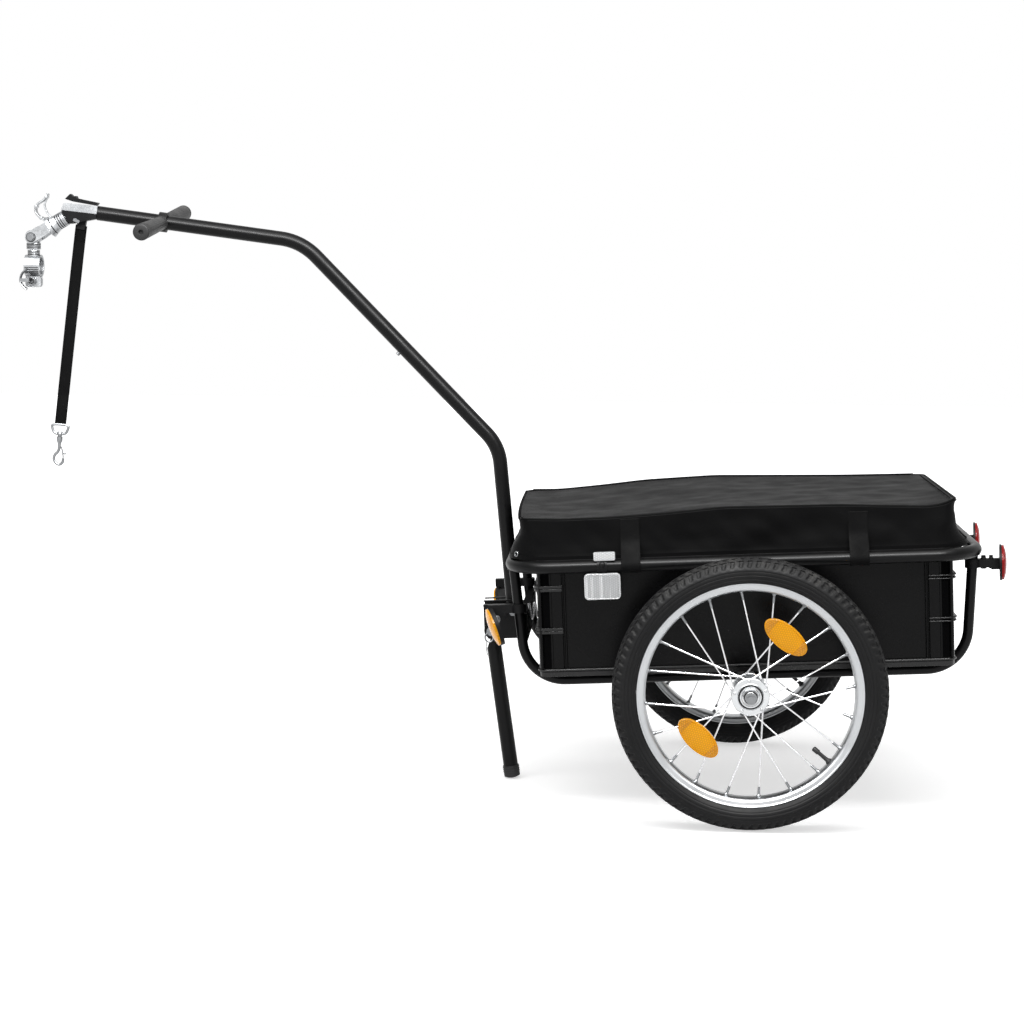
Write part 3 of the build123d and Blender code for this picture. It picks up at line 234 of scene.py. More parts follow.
def laid(pairs, matrix, height=0.0):
    """Pairs laid on a matrix's XY plane at a height."""
    return [matrix @ Vector((x, y, height)) for x, y in pairs]


def loft(rings, closed=False, open_sides=False):
    """A skin over rings of equal point count, capped unless its ends meet or its sides are open."""
    count = len(rings[0])
    points = [tuple(p) for ring in rings for p in ring]
    faces = []
    for i in range(len(rings) if closed else len(rings) - 1):
        a, b = i * count, (i + 1) % len(rings) * count
        for j in range(count - 1 if open_sides else count):
            k = (j + 1) % count
            faces.append((a + j, a + k, b + k, b + j))
    if not closed and not open_sides:
        faces.append(tuple(reversed(range(count))))
        faces.append(tuple((len(rings) - 1) * count + j for j in range(count)))
    return points, faces


def lathe(profile, matrix, around=48, closed=False):
    """Pairs of radius and height turned about a matrix's Z."""
    rings = [laid(circle(max(radius, 1e-4), around), matrix, height) for radius, height in profile]
    return loft(rings, closed)


def washer(inner, outer, low, high, matrix, around=36):
    """A plain ring about a matrix's Z."""
    return lathe([(inner, low), (outer, low), (outer, high), (inner, high)], matrix, around, closed=True)


def fluted(profile, matrix, around, start, end, deep):
    """A turned shape with flutes between two heights, raised or sunk by a depth."""
    rings = []
    for radius, height in profile:
        raised = deep if start < height < end else 0.0
        ring = []
        for i, (x, y) in enumerate(circle(1.0, around)):
            grown = radius + (raised if i % 4 < 2 else 0.0)
            ring.append(matrix @ Vector((grown * x, grown * y, height)))
        rings.append(ring)
    return loft(rings)


def follow(path, up=None, closed=False):
    """A matrix at each point of a path, with Z along it."""
    path = [Vector(p) for p in path]
    count = len(path)
    frames, x = [], None
    for i, point in enumerate(path):
        before = path[i - 1] if i or closed else point
        after = path[(i + 1) % count] if i < count - 1 or closed else point
        z = (after - before).normalized()
        guide = Vector(up) if up is not None else (x if x is not None else z.orthogonal())
        x = (guide - z * guide.dot(z)).normalized()
        frames.append(axes_of(point, z, x))
    return frames


def sweep(path, section, up=None, closed=False):
    """A section of pairs carried along a path; its X stays as near up as it can."""
    return loft([laid(section, matrix) for matrix in follow(path, up, closed)], closed)


def rod(path, radius, around=12, closed=False, up=None):
    """A round wire or tube along a path."""
    return sweep(path, circle(radius, around), up, closed)


def through(points, steps=8, closed=False):
    """A smooth run of points through a few given ones."""
    points = [Vector(p) for p in points]
    count = len(points)
    out = []
    for i in range(count if closed else count - 1):
        b, c = points[i], points[(i + 1) % count]
        a = points[i - 1] if i or closed else b * 2 - c
        d = points[(i + 2) % count] if i + 2 < count or closed else c * 2 - b
        for step in range(steps):
            t = step / steps
            square, cube = 2 * a - 5 * b + 4 * c - d, 3 * b - a - 3 * c + d
            out.append(0.5 * (2 * b + (c - a) * t + square * t * t + cube * t**3))
    if not closed:
        out.append(points[-1])
    return out


def side_run(points, steps, y=0.0):
    """A smooth run through points of the side view, at a place across the trailer."""
    return through([upright(p, y) for p in points], steps)


def plate(outline, thickness, matrix, holes=()):
    """A flat piece with an outline and holes, centred on a matrix's XY plane."""
    loops = [outline, *holes]
    flat = [pair for loop in loops for pair in loop]
    count = len(flat)
    points = laid(flat, matrix, -thickness / 2) + laid(flat, matrix, thickness / 2)
    faces = []
    for a, b, c in tessellate_polygon([[Vector((x, y, 0)) for x, y in loop] for loop in loops]):
        faces += [(a, c, b), (a + count, b + count, c + count)]
    base = 0
    for loop in loops:
        for i in range(len(loop)):
            a, b = base + i, base + (i + 1) % len(loop)
            faces.append((a, b, b + count, a + count))
        base += len(loop)
    return points, faces


def block(width, depth, height, matrix):
    """A straight-sided piece, centred on a matrix."""
    return plate(oblong(width / 2, depth / 2), height, matrix)


def make(name, parts, slot, body="chassis", look=None, replaces=(), bevel=0.0, sharp=32.0, flat=None):
    """A finished piece from shapes in level millimetres, riding on a body.

    Its look is the slot's own finish unless another is named. Flat gives each point's place in
    the cloth or lens, or "side" for its place in the side view.
    """
    points, faces = join(parts)
    if flat == "side":
        flat = [(p[0], p[2]) for p in points]
    mesh = bpy.data.meshes.new(name)
    work = bmesh.new()
    corners = [work.verts.new(LEVEL @ (Vector(p) * MM)) for p in points]
    layer = work.loops.layers.uv.new("flat") if flat is not None else None
    work.verts.index_update()
    for face in faces:
        ring = list(dict.fromkeys(corners[index] for index in face))
        if len(ring) < 3 or work.faces.get(ring):
            continue
        made = work.faces.new(ring)
        made.smooth = True
        for loop in made.loops if layer is not None else ():
            loop[layer].uv = Vector(flat[loop.vert.index]) * MM
    bmesh.ops.remove_doubles(work, verts=work.verts, dist=0.002 * MM)
    bmesh.ops.dissolve_degenerate(work, edges=work.edges, dist=0.001 * MM)
    bmesh.ops.recalc_face_normals(work, faces=work.faces)
    work.to_mesh(mesh)
    work.free()
    mesh.set_sharp_from_angle(angle=radians(sharp))
    mesh.materials.append(finish(look or slot))
    piece = bpy.data.objects.new(name, mesh)
    bpy.context.scene.collection.objects.link(piece)
    soften(piece, bevel)
    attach(piece, body)
    if replaces:
        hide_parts(*replaces)
    return piece


def soften(piece, width):
    """Rounds a piece's sharp edges by a width in millimetres."""
    if width:
        bevel = piece.modifiers.new("edges", "BEVEL")
        bevel.width = width * MM
        bevel.segments = 2
        bevel.limit_method = "ANGLE"
        bevel.angle_limit = radians(38)
        bevel.harden_normals = True


def dress(names, look, bevel=0.0):
    """Gives nodes of the fixed frame a finish, and rounds their edges."""
    for name in names:
        node = frame["nodes"][name]
        node.data.materials.clear()
        node.data.materials.append(finish(look))
        soften(node, bevel)


# ------------------------------------------------------------------ shared shader effects


def feed(tree, socket, value):
    """Gives a socket a value, or links another node's socket to it."""
    if isinstance(value, bpy.types.NodeSocket):
        tree.links.new(value, socket)
    else:
        socket.default_value = value


def add_node(tree, kind, settings=None, **inputs):
    """A node with its settings and its inputs."""
    node = tree.nodes.new(kind)
    for key, value in (settings or {}).items():
        setattr(node, key, value)
    for key, value in inputs.items():
        feed(tree, node.inputs[key.replace("_", " ")], value)
    return node


def maths(tree, operation, *values):
    """The output of a Math node."""
    node = add_node(tree, "ShaderNodeMath", {"operation": operation})
    for socket, value in zip(node.inputs, values):
        feed(tree, socket, value)
    return node.outputs[0]


def times(tree, a, b):
    """One value times another."""
    return maths(tree, "MULTIPLY", a, b)


def plus(tree, a, b):
    """One value and another."""
    return maths(tree, "ADD", a, b)


def cloud(tree, place, scale, detail):
    """A soft uneven pattern, from 0 to 1."""
    return add_node(tree, "ShaderNodeTexNoise", Vector=place, Scale=scale, Detail=detail).outputs[0]


def ramp_between(tree, value, low, high, bottom=0.0, top=1.0):
    """A value taken smoothly from one range to another."""
    settings = {"interpolation_type": "SMOOTHSTEP"}
    ends = {"From_Min": low, "From_Max": high, "To_Min": bottom, "To_Max": top}
    return add_node(tree, "ShaderNodeMapRange", settings, Value=value, **ends).outputs["Result"]


def mixed(tree, share, first, second):
    """A colour between two others."""
    node = add_node(tree, "ShaderNodeMix", {"data_type": "RGBA"})
    for socket, value in ((0, share), (6, first), (7, second)):
        feed(tree, node.inputs[socket], value)
    return node.outputs[2]


def effect(name, inputs, outputs):
    """An empty shader node group, with the sockets that it is given and that it makes.

    An input with no default is a place; a tuple is a colour; anything else is a value.
    """
    group = bpy.data.node_groups.new(name, "ShaderNodeTree")
    for label, default in inputs.items():
        kind = "Vector" if default is None else "Color" if isinstance(default, tuple) else "Float"
        socket = group.interface.new_socket(name=label, in_out="INPUT", socket_type=f"NodeSocket{kind}")
        if default is not None:
            socket.default_value = default
    for label in outputs:
        kind = "Color" if label == "Colour" else "Float"
        group.interface.new_socket(name=label, in_out="OUTPUT", socket_type=f"NodeSocket{kind}")
    given, made = group.nodes.new("NodeGroupInput"), group.nodes.new("NodeGroupOutput")
    return group, given.outputs, made.inputs


def fine_grain():
    """Small uneven spots: a roughness between two levels, and a height."""
    inputs = {"Place": None, "Grains per metre": 1500.0, "Smooth": 0.3, "Rough": 0.5}
    group, given, made = effect("fine_grain", inputs, ["Roughness", "Height"])
    fine = cloud(group, given["Place"], given["Grains per metre"], 2.0)
    broad = cloud(group, given["Place"], 24.0, 3.0)
    both = plus(group, times(group, fine, 0.4), times(group, broad, 0.6))
    level = ramp_between(group, both, 0.35, 0.65, given["Smooth"], given["Rough"])
    feed(group, made["Roughness"], level)
    feed(group, made["Height"], fine)
    return group


def handling_wear():
    """Rubbed patches and fine scratches, as a colour and a mask."""
    inputs = {"Place": None, "Colour": (0.02, 0.02, 0.02, 1), "Worn": (0.08, 0.08, 0.08, 1), "Amount": 0.3}
    group, given, made = effect("handling_wear", inputs, ["Colour", "Mask"])
    patches = cloud(group, given["Place"], 11.0, 4.0)
    stretched = add_node(group, "ShaderNodeMapping", Vector=given["Place"], Scale=(60.0, 700.0, 420.0))
    scratches = cloud(group, stretched.outputs[0], 1.0, 2.0)
    rubbed = ramp_between(group, patches, 0.45, 0.75)
    lines = ramp_between(group, scratches, 0.6, 0.75)
    mask = times(group, rubbed, maths(group, "MAXIMUM", lines, 0.35))
    share = times(group, mask, given["Amount"])
    feed(group, made["Mask"], share)
    feed(group, made["Colour"], mixed(group, share, given["Colour"], given["Worn"]))
    return group


def plain_weave():
    """Threads over and under each other in a flat cloth, as a height and a shade."""
    inputs = {"Place": None, "Threads per metre": 1400.0}
    group, given, made = effect("plain_weave", inputs, ["Height", "Shade"])
    split = add_node(group, "ShaderNodeSeparateXYZ", Vector=given["Place"])
    turns = times(group, given["Threads per metre"], pi)
    across, along = (maths(group, "SINE", times(group, split.outputs[i], turns)) for i in (0, 1))
    slubs = cloud(group, given["Place"], 260.0, 2.0)
    height = plus(group, times(group, times(group, across, along), 0.5), times(group, slubs, 0.5))
    feed(group, made["Height"], height)
    feed(group, made["Shade"], ramp_between(group, height, -0.3, 0.8, 0.75, 1.2))
    return group


def prism_cells():
    """Six-sided prism cells moulded behind a lens, as a height and a shade."""
    inputs = {"Place": None, "Cells per metre": 400.0}
    group, given, made = effect("prism_cells", inputs, ["Height", "Shade"])
    total = 0.0
    for x, y in ellipse(1.0, 1.0, (0, 60, 120)):
        dot = add_node(group, "ShaderNodeVectorMath", {"operation": "DOT_PRODUCT"})
        feed(group, dot.inputs[0], given["Place"])
        feed(group, dot.inputs[1], (x, y, 0))
        turns = times(group, given["Cells per metre"], 2 * pi)
        total = plus(group, total, maths(group, "COSINE", times(group, dot.outputs["Value"], turns)))
    height = times(group, total, 0.333)
    feed(group, made["Height"], height)
    feed(group, made["Shade"], ramp_between(group, height, -0.5, 0.9, 0.82, 1.06))
    return group


def settled_dust():
    """Pale dust on the faces that look up, mixed into a colour."""
    inputs = {"Place": None, "Colour": (0.02, 0.02, 0.02, 1), "Dust": (0.3, 0.29, 0.27, 1), "Amount": 0.1}
    group, given, made = effect("settled_dust", inputs, ["Colour"])
    facing = add_node(group, "ShaderNodeNewGeometry")
    split = add_node(group, "ShaderNodeSeparateXYZ", Vector=facing.outputs["Normal"])
    up = ramp_between(group, split.outputs[2], 0.2, 0.95)
    patches = ramp_between(group, cloud(group, given["Place"], 38.0, 5.0), 0.35, 0.8)
    share = times(group, times(group, up, patches), given["Amount"])
    feed(group, made["Colour"], mixed(group, share, given["Colour"], given["Dust"]))
    return group


EFFECTS = {}


def use_effect(tree, maker, **inputs):
    """The outputs of a shared effect, which is built once and placed in a material."""
    if maker not in EFFECTS:
        EFFECTS[maker] = maker()
    return add_node(tree, "ShaderNodeGroup", {"node_tree": EFFECTS[maker]}, **inputs).outputs


# ------------------------------------------------------------------ finishes

# Each finish: how smooth and rough it gets, its grains to the metre, their height in millimetres,
# and what its surface does besides.
FINISHES = {
    "black_steel": (0.3, 0.38, 120, 0.0, dict(level=0.12, worn=0.006, dust=0.2)),
    "handle_steel": (0.3, 0.38, 120, 0.0, dict(level=0.12, worn=0.006, dust=0.2)),
    "dull_steel": (0.6, 0.75, 400, 0.01, dict(level=0.02)),
    "zinc_steel": (0.28, 0.44, 1300, 0.02, dict(metallic=1.0, worn=0.4)),
    "hitch_alloy": (0.3, 0.46, 700, 0.05, dict(metallic=1.0, worn=0.55)),
    "rim_alloy": (0.26, 0.38, 2400, 0.01, dict(metallic=1.0, worn=0.6)),
    "hub_steel": (0.14, 0.26, 1500, 0.01, dict(metallic=1.0, worn=0.5)),
    "spoke_steel": (0.2, 0.3, 2000, 0.01, dict(metallic=1.0, worn=0.5)),
    "tyre_black": (0.45, 0.6, 2600, 0.05, dict(level=0.1, worn=0.05, dust=1.6)),
    "valve_rubber": (0.5, 0.65, 2600, 0.03, dict(level=0.3, worn=0.05)),
    "grip_rubber": (0.5, 0.68, 2300, 0.06, dict(level=0.3, worn=0.05, dust=1)),
    "box_plastic": (0.22, 0.3, 2100, 0.004, dict(level=0.09, worn=0.008, dust=0.3)),
    # Dark and dull, to paint the shade in the posts' channels.
    "channel_shade_plastic": (0.6, 0.75, 900, 0.01, dict(level=0.01)),
    # Paler and shinier than the walls, to paint the ribs' highlights.
    "rib_highlight_plastic": (0.26, 0.34, 900, 0.004, dict(level=0.3, worn=0.05)),
    "black_plastic": (0.38, 0.55, 1800, 0.02, dict(level=0.1, worn=0.02, dust=0.6)),
    "cover_fabric": (0.5, 0.64, 900, 0.03, dict(level=0.04, worn=0.004, dust=0.12, sheen=0.02, weave=0.06)),
    "dark_binding": (0.6, 0.75, 900, 0.02, dict(level=0.01)),
    "webbing": (0.6, 0.78, 900, 0.04, dict(level=0.045, worn=0.02, dust=0.4, sheen=0.03, weave=0.2)),
    "amber_lens": (0.1, 0.18, 500, 0.01, dict(level=0.16, prisms=0.15)),
    "amber_ends": (0.1, 0.2, 500, 0.01, dict(level=0.3, prisms=0.3)),
    "red_lens": (0.1, 0.18, 500, 0.01, dict(level=0.08, prisms=0.2)),
    "clear_lens": (0.08, 0.18, 500, 0.01, dict(level=0.5, coat=0.4, prisms=0.3)),
    "clear_bands": (0.12, 0.2, 500, 0.01, dict(level=0.4, prisms=0.1)),
}
MATERIALS = {}
PRISMS_PER_METRE = 330.0


def grey(value):
    """An opaque grey."""
    return (value, value, value, 1.0)


def empty_tree(owner, kind):
    """A material's or a world's node tree with only its output, and that output's surface."""
    owner.use_nodes = True
    owner.node_tree.nodes.clear()
    return owner.node_tree, owner.node_tree.nodes.new(kind).inputs["Surface"]


def finish(name):
    """The material of a finish, built once."""
    if name in MATERIALS:
        return MATERIALS[name]
    smooth, rough, grains, bump, facts = FINISHES[name]
    scene = bpy.context.scene
    sizes = scene.trailer_sizes
    MATERIALS[name] = material = bpy.data.materials.new(name)
    tree, surface = empty_tree(material, "ShaderNodeOutputMaterial")
    shader = add_node(
        tree,
        "ShaderNodeBsdfPrincipled",
        Metallic=facts.get("metallic", 0.0),
        Specular_IOR_Level=facts.get("level", 0.5),
        Coat_Weight=facts.get("coat", 0.0),
        Coat_Roughness=0.2,
        Sheen_Weight=facts.get("sheen", 0.0),
        Sheen_Roughness=0.45,
    )
    feed(tree, surface, shader.outputs[0])
    coordinates = tree.nodes.new("ShaderNodeTexCoord")
    place, flat = coordinates.outputs["Object"], coordinates.outputs["UV"]
    colour = (*getattr(scene.trailer_colours, name), 1.0)
    pattern = None
    if "weave" in facts:
        pattern = use_effect(tree, plain_weave, Place=flat, Threads_per_metre=1 / sizes.thread_pitch)
    if "prisms" in facts:
        pattern = use_effect(tree, prism_cells, Place=flat, Cells_per_metre=PRISMS_PER_METRE)
    if pattern:
        scaled = add_node(tree, "ShaderNodeVectorMath", {"operation": "SCALE"}, Scale=pattern["Shade"])
        scaled.inputs[0].default_value = colour[:3]
        colour = scaled.outputs[0]
    if "worn" in facts:
        rubbed = {"Worn": grey(facts["worn"]), "Amount": sizes.wear}
        colour = use_effect(tree, handling_wear, Place=place, Colour=colour, **rubbed)["Colour"]
    if "dust" in facts:
        amount = sizes.dust * facts["dust"]
        colour = use_effect(tree, settled_dust, Place=place, Colour=colour, Amount=amount)["Colour"]
    feed(tree, shader.inputs["Base Color"], colour)
    levels = {"Smooth": smooth, "Rough": rough}
    grain = use_effect(tree, fine_grain, Place=place, Grains_per_metre=float(grains), **levels)
    feed(tree, shader.inputs["Roughness"], grain["Roughness"])
    raised = {"Height": grain["Height"], "Distance": bump * MM, "Strength": 0.6}
    normal = add_node(tree, "ShaderNodeBump", **raised)
    if pattern:
        depth = facts.get("prisms", facts.get("weave")) * MM
        raised = {"Height": pattern["Height"], "Distance": depth, "Strength": 0.8}
        normal = add_node(tree, "ShaderNodeBump", Normal=normal.outputs[0], **raised)
    feed(tree, shader.inputs["Normal"], normal.outputs[0])
    return material


# ------------------------------------------------------------------ stage

CAMERA_PLACE = (-124.95, -3603.99, 633.3)
CAMERA_TURN, CAMERA_DIP, CAMERA_ROLL = 0.0611, 0.10905, -0.03969
# Each lamp: its name, how far ahead it stands, its depth in metres and its share of the power.
LAMPS = (("long_lamp", 0.7, 0.9, 1.0), ("shine_lamp", 1.9, 0.5, 7.0))
LAMP_AIM, LAMP_LENGTH = 0.35, 3.2
FLOOR_REACH, FLOOR_CLEAR, FLOOR_WHITE = 9.0, 0.75, 1.7


def seen_rays(tree):
    """1 for the rays that look at a thing: from the camera, in gloss and through glass."""
    rays = tree.nodes.new("ShaderNodeLightPath").outputs
    total = plus(tree, rays["Is Camera Ray"], rays["Is Glossy Ray"])
    return maths(tree, "MINIMUM", plus(tree, total, rays["Is Transmission Ray"]), 1.0)


def lifted(tree, low, share):
    """A value that goes from a low level to 1 with a share."""
    return plus(tree, low, times(tree, share, 1.0 - low))


class TRAILER_OT_stage(bpy.types.Operator):
    """Sets the camera, the two lamps, the soft surround and the pale floor."""

    bl_idname = "trailer.stage"
    bl_label = "Stage"

    def execute(self, context):
        scene = context.scene
        facts = scene.trailer_stage
        scene.view_settings.view_transform = "Standard"
        camera = bpy.data.objects.new("camera", bpy.data.cameras.new("camera"))
        camera.data.sensor_width = 36.0
        camera.data.lens = facts.lens
        camera.data.clip_start, camera.data.clip_end = 0.05, 60.0
        scene.collection.objects.link(camera)
        place = LEVEL @ Matrix.Translation(Vector(CAMERA_PLACE) * MM)
        dip = Matrix.Rotation(pi / 2 - CAMERA_DIP, 4, "X")
        turn, roll = Matrix.Rotation(CAMERA_TURN, 4, "Z"), Matrix.Rotation(CAMERA_ROLL, 4, "Z")
        camera.matrix_world = place @ turn @ dip @ roll
        scene.camera = camera
        self.lamps(scene, facts)
        self.surround(scene, facts)
        self.floor(scene, facts)
        return {"FINISHED"}

    def lamps(self, scene, facts):
        """The long lamp lights everything; the other one only makes highlights."""
        for name, forward, deep, power in LAMPS:
            lamp = bpy.data.lights.new(name, "AREA")
            lamp.shape = "RECTANGLE"
            lamp.size, lamp.size_y = LAMP_LENGTH, deep
            lamp.energy = facts.lamp_power * power
            holder = bpy.data.objects.new(name, lamp)
            holder.location = (0.0, -forward, facts.lamp_height)
            holder.rotation_euler = (atan2(forward, facts.lamp_height - LAMP_AIM), 0.0, 0.0)
            holder.visible_diffuse = name == "long_lamp"
            scene.collection.objects.link(holder)

    def surround(self, scene, facts):
        """A soft light from all round that is white where it is looked at."""
        scene.world = bpy.data.worlds.new("soft_surround")
        tree, surface = empty_tree(scene.world, "ShaderNodeOutputWorld")
        strength = lifted(tree, facts.fill, seen_rays(tree))
        light = add_node(tree, "ShaderNodeBackground", Color=grey(1), Strength=strength)
        feed(tree, surface, light.outputs[0])

    def floor(self, scene, facts):
        """A pale floor that keeps the trailer's shadow and turns white further out."""
        mesh = bpy.data.meshes.new("floor")
        corners = [(x, y, 0) for x, y in oblong(FLOOR_REACH, FLOOR_REACH)]
        mesh.from_pydata(corners, [], [(0, 1, 2, 3)])
        floor = bpy.data.objects.new("floor", mesh)
        scene.collection.objects.link(floor)
        material = bpy.data.materials.new("pale_floor")
        tree, surface = empty_tree(material, "ShaderNodeOutputMaterial")
        place = tree.nodes.new("ShaderNodeTexCoord").outputs["Object"]
        grain = ramp_between(tree, cloud(tree, place, 3.0, 3.0), 0.3, 0.7)
        shade = add_node(tree, "ShaderNodeVectorMath", {"operation": "MULTIPLY"})
        feed(tree, shade.inputs[0], mixed(tree, grain, grey(0.98), grey(1.0)))
        feed(tree, shade.inputs[1], facts.floor_colour)
        dull = {"Roughness": 0.9, "Specular_IOR_Level": 0.1}
        pale = add_node(tree, "ShaderNodeBsdfPrincipled", Base_Color=shade.outputs[0], **dull)
        distance = add_node(tree, "ShaderNodeVectorMath", {"operation": "LENGTH"}, Vector=place)
        edge = ramp_between(tree, distance.outputs["Value"], FLOOR_CLEAR, FLOOR_WHITE)
        glow = times(tree, lifted(tree, facts.floor_lift, edge), seen_rays(tree))
        bright = add_node(tree, "ShaderNodeEmission", Color=grey(1), Strength=glow)
        both = tree.nodes.new("ShaderNodeAddShader")
        feed(tree, both.inputs[0], pale.outputs[0])
        feed(tree, both.inputs[1], bright.outputs[0])
        feed(tree, surface, both.outputs[0])
        mesh.materials.append(material)


# ------------------------------------------------------------------ safety tether

TETHER_ROUTE = ((-989.34, 702.22), (-992.97, 687.66), (-1040.72, 398.58))
TETHER_LENGTH, HEM_LOW, HEM_HIGH, STITCH_BOX, STITCH = 0.307, 24, 268, 18, 2.6
HOOK_LEAN = 6.7


def run_lengths(path):
    """How far along a path each of its points lies."""
    lengths = [0.0]
    for a, b in zip(path, path[1:]):
        lengths.append(lengths[-1] + (Vector(b) - Vector(a)).length)
    return lengths


def hook_point(drop, across, y=0.0):
    """A point of the hook, below the strap's end and across its line, rearwards."""
    point = ahead(TETHER_ROUTE[-1], HOOK_LEAN - 90, drop)
    return upright(ahead(point, 180 + HOOK_LEAN, across), y)


class TRAILER_OT_tether(bpy.types.Operator):
    """Hangs the safety strap from the coupler, with its snap hook."""

    bl_idname = "trailer.tether"
    bl_label = "Safety tether"

    def execute(self, context):
        sizes = context.scene.trailer_sizes
        path = self.line(context)
        half, thick = sizes.tether_width / MM / 2, sizes.tether_thickness / MM
        edge = [(0.25, 0.5), (0.9, 0.42), (1.0, 0.0), (0.9, -0.42), (0.25, -0.5)]
        outline = [(a * half, b * thick) for a, b in both_ways(edge)]
        flat, rings = [], []
        for along, matrix in zip(run_lengths(path), follow(path, up=ACROSS)):
            swell = 1.0 if HEM_LOW <= along <= HEM_HIGH else 1.5
            rings.append(laid([(b * swell, a) for a, b in outline], matrix))
            flat.extend((along, a + b * 2) for a, b in outline)
        shape = [loft(rings)]
        strap = make("safety_strap", shape, "webbing", replaces=("tether_strap",), flat=flat, sharp=60)
        make("strap_stitches", self.stitches(path, half, thick), "webbing")
        hook = make("snap_hook_wire", self.hook(), "zinc_steel", replaces=("snap_hook",), sharp=40)
        return {"FINISHED"}

    def line(self, context):
        """Points of the smooth line that the strap hangs in."""
        curve = bpy.data.curves.new("tether_line", "CURVE")
        curve.dimensions = "3D"
        spline = curve.splines.new("NURBS")
        spline.points.add(len(TETHER_ROUTE) - 1)
        for point, place in zip(spline.points, TETHER_ROUTE):
            point.co = (*(upright(place) * MM), 1.0)
        spline.order_u = 3
        spline.use_endpoint_u = True
        spline.resolution_u = 24
        line = bpy.data.objects.new("tether_line", curve)
        context.scene.collection.objects.link(line)
        context.view_layer.update()
        mesh = bpy.data.meshes.new_from_object(line)
        path = [v.co / MM for v in mesh.vertices]
        bpy.data.objects.remove(line)
        bpy.data.meshes.remove(mesh)
        if len(path) < 10:
            raise RuntimeError("the tether's line has too few points")
        return through(path, 4)

    def stitches(self, path, half, thick):
        """A boxed cross of thread at each end, where the strap is folded back on itself."""
        matrices, lengths = follow(path, up=ACROSS), run_lengths(path)
        reach = half - 2
        corners = [(-reach, 0), (reach, 0), (reach, STITCH_BOX), (-reach, STITCH_BOX)]
        runs = [*zip(corners, corners[1:] + corners[:1]), *zip(corners[:2], corners[2:])]
        threads = []
        for start in (5.0, lengths[-1] - 24.0):
            matrix = matrices[min(range(len(path)), key=lambda i: abs(lengths[i] - start))]
            for (a0, z0), (a1, z1) in runs:
                count = max(3, int(hypot(a1 - a0, z1 - z0) / STITCH))
                for face in (-thick, thick):
                    for i in range(count):
                        ends = []
                        for t, lift in ((0.15, 0.66), (0.475, 0.78), (0.8, 0.66)):
                            share = (i + t) / count
                            place = (face * lift, a0 + (a1 - a0) * share, z0 + (z1 - z0) * share)
                            ends.append(matrix @ Vector(place))
                        threads.append(rod(ends, 0.35, 5))
        return threads

    def hook(self):
        """The snap hook: a flat eye, a swivel barrel, the bent hook and its sprung gate."""
        eye = [(1.6, -10.5), (1.6, 10.5), (8, 12), (15, 7), (15, -7), (8, -12)]
        bend = [(38, 0), (43.5, -1.6), (49, -6.2), (56, -7.2), (61.5, -3.4), (63.2, 2.0), (59.5, 6.4)]
        gate = [(35, 3.2), (42, 5.4), (50, 7.0), (56, 7.3)]
        swivel = [(0.1, 0), (3.6, 0), (4.4, 1), (4.4, 5), (3.2, 6), (3.2, 7.4), (4.6, 8.4), (4.6, 14.5)]
        swivel += [(3.4, 16.5), (2.6, 19), (2.4, 27), (0.1, 27.4)]
        turn = axes_of(hook_point(12.0, 0.0), hook_point(30, 0) - hook_point(0, 0))
        knob = axes_of(hook_point(45, 6.4), hook_point(0, 8) - hook_point(0, 0))
        eye, bend, gate = ([hook_point(*p) for p in run] for run in (eye, [*bend, (53.5, 7.2)], gate))
        return [
            rod(through(eye, 6, closed=True), 2.1, 10, closed=True, up=ACROSS),
            lathe(swivel, turn, 24),
            rod(through(bend, 6), 2.2, 12, up=ACROSS),
            sweep(gate, oblong(1.8, 0.6), up=ACROSS),
            lathe([(0.1, 0), (1.4, 0), (1.4, 2.4), (2.4, 2.8), (2.4, 4.2), (0.1, 4.6)], knob, 16),
        ]


# ------------------------------------------------------------------ cargo cover

# Heights of the cover's near and far top edges along the box, front first.
COVER_NEAR = ((-322, 250), (-262, 247.2), (-190, 247.8), (-110, 251.5), (-30, 257.3))
COVER_NEAR += ((140, 255.5), (270, 248.6), (300, 254), (311, 262))
COVER_FAR = ((-330, 250.7), (-278, 249.4), (-209, 254), (-140, 260))
COVER_FAR += ((-30, 263.5), (174, 257), (270, 255.5), (320, 255))
# How far the cover reaches to the front, the rear and the sides, from its hem, 0, to its top edge, 1.
COVER_FRONT = ((0, 341), (0.07, 341), (0.2, 338), (0.33, 335), (0.48, 329.5), (0.62, 324))
COVER_FRONT += ((0.75, 322), (1, 323))
COVER_REAR = ((0, 328.5), (0.1, 324), (0.2, 318), (0.32, 312), (0.45, 307.4), (0.6, 305.2), (0.8, 304.8))
COVER_REAR += ((0.95, 306), (1, 309))
COVER_HALF = ((0, 207.2), (0.15, 205.4), (0.4, 204.2), (0.75, 204.0), (1, 204.4))
COVER_LEVELS = (0, 0.012, 0.03, 0.04, 0.06, 0.1, 0.15, 0.2, 0.26, 0.32, 0.38, 0.44, 0.5)
COVER_LEVELS += (0.56, 0.62, 0.68, 0.74, 0.8, 0.86, 0.9, 0.93, 0.955, 0.975, 0.99, 1.0)
COVER_INSETS = (0.7, 1.6, 3, 4.5, 6.5, 8.2, 9.0, 9.8, 12, *(12 + 6.0 * i for i in range(1, 32)), 203.9)
COVER_COUNTS = (120, 12, 78)
EDGE_HALF, EDGE_DROP, LOWEST_TOP = 204.0, 2.4, 244.6
HEM_SIDE, HEM_END, HEM_SEAM = 186.4, 189.6, 0.06
TIGHT_LEVEL = 0.6
STRAP_PLACES = (-163.0, 165.5)
CORNER_RING_X, CORNER_RING_Y, CORNER_RING_Z = -329.9, 190.3, 197.0
RING_Y, RING_Z, STRAP_REACH = 215.0, 178.5, 10.9


def read_off(table, x):
    """A value read off pairs, smoothly enough for cloth."""
    keys, values = zip(*table)
    return float(np.interp(x, keys, values))


def unit(value):
    """A value kept between 0 and 1."""
    return min(1.0, max(0.0, value))


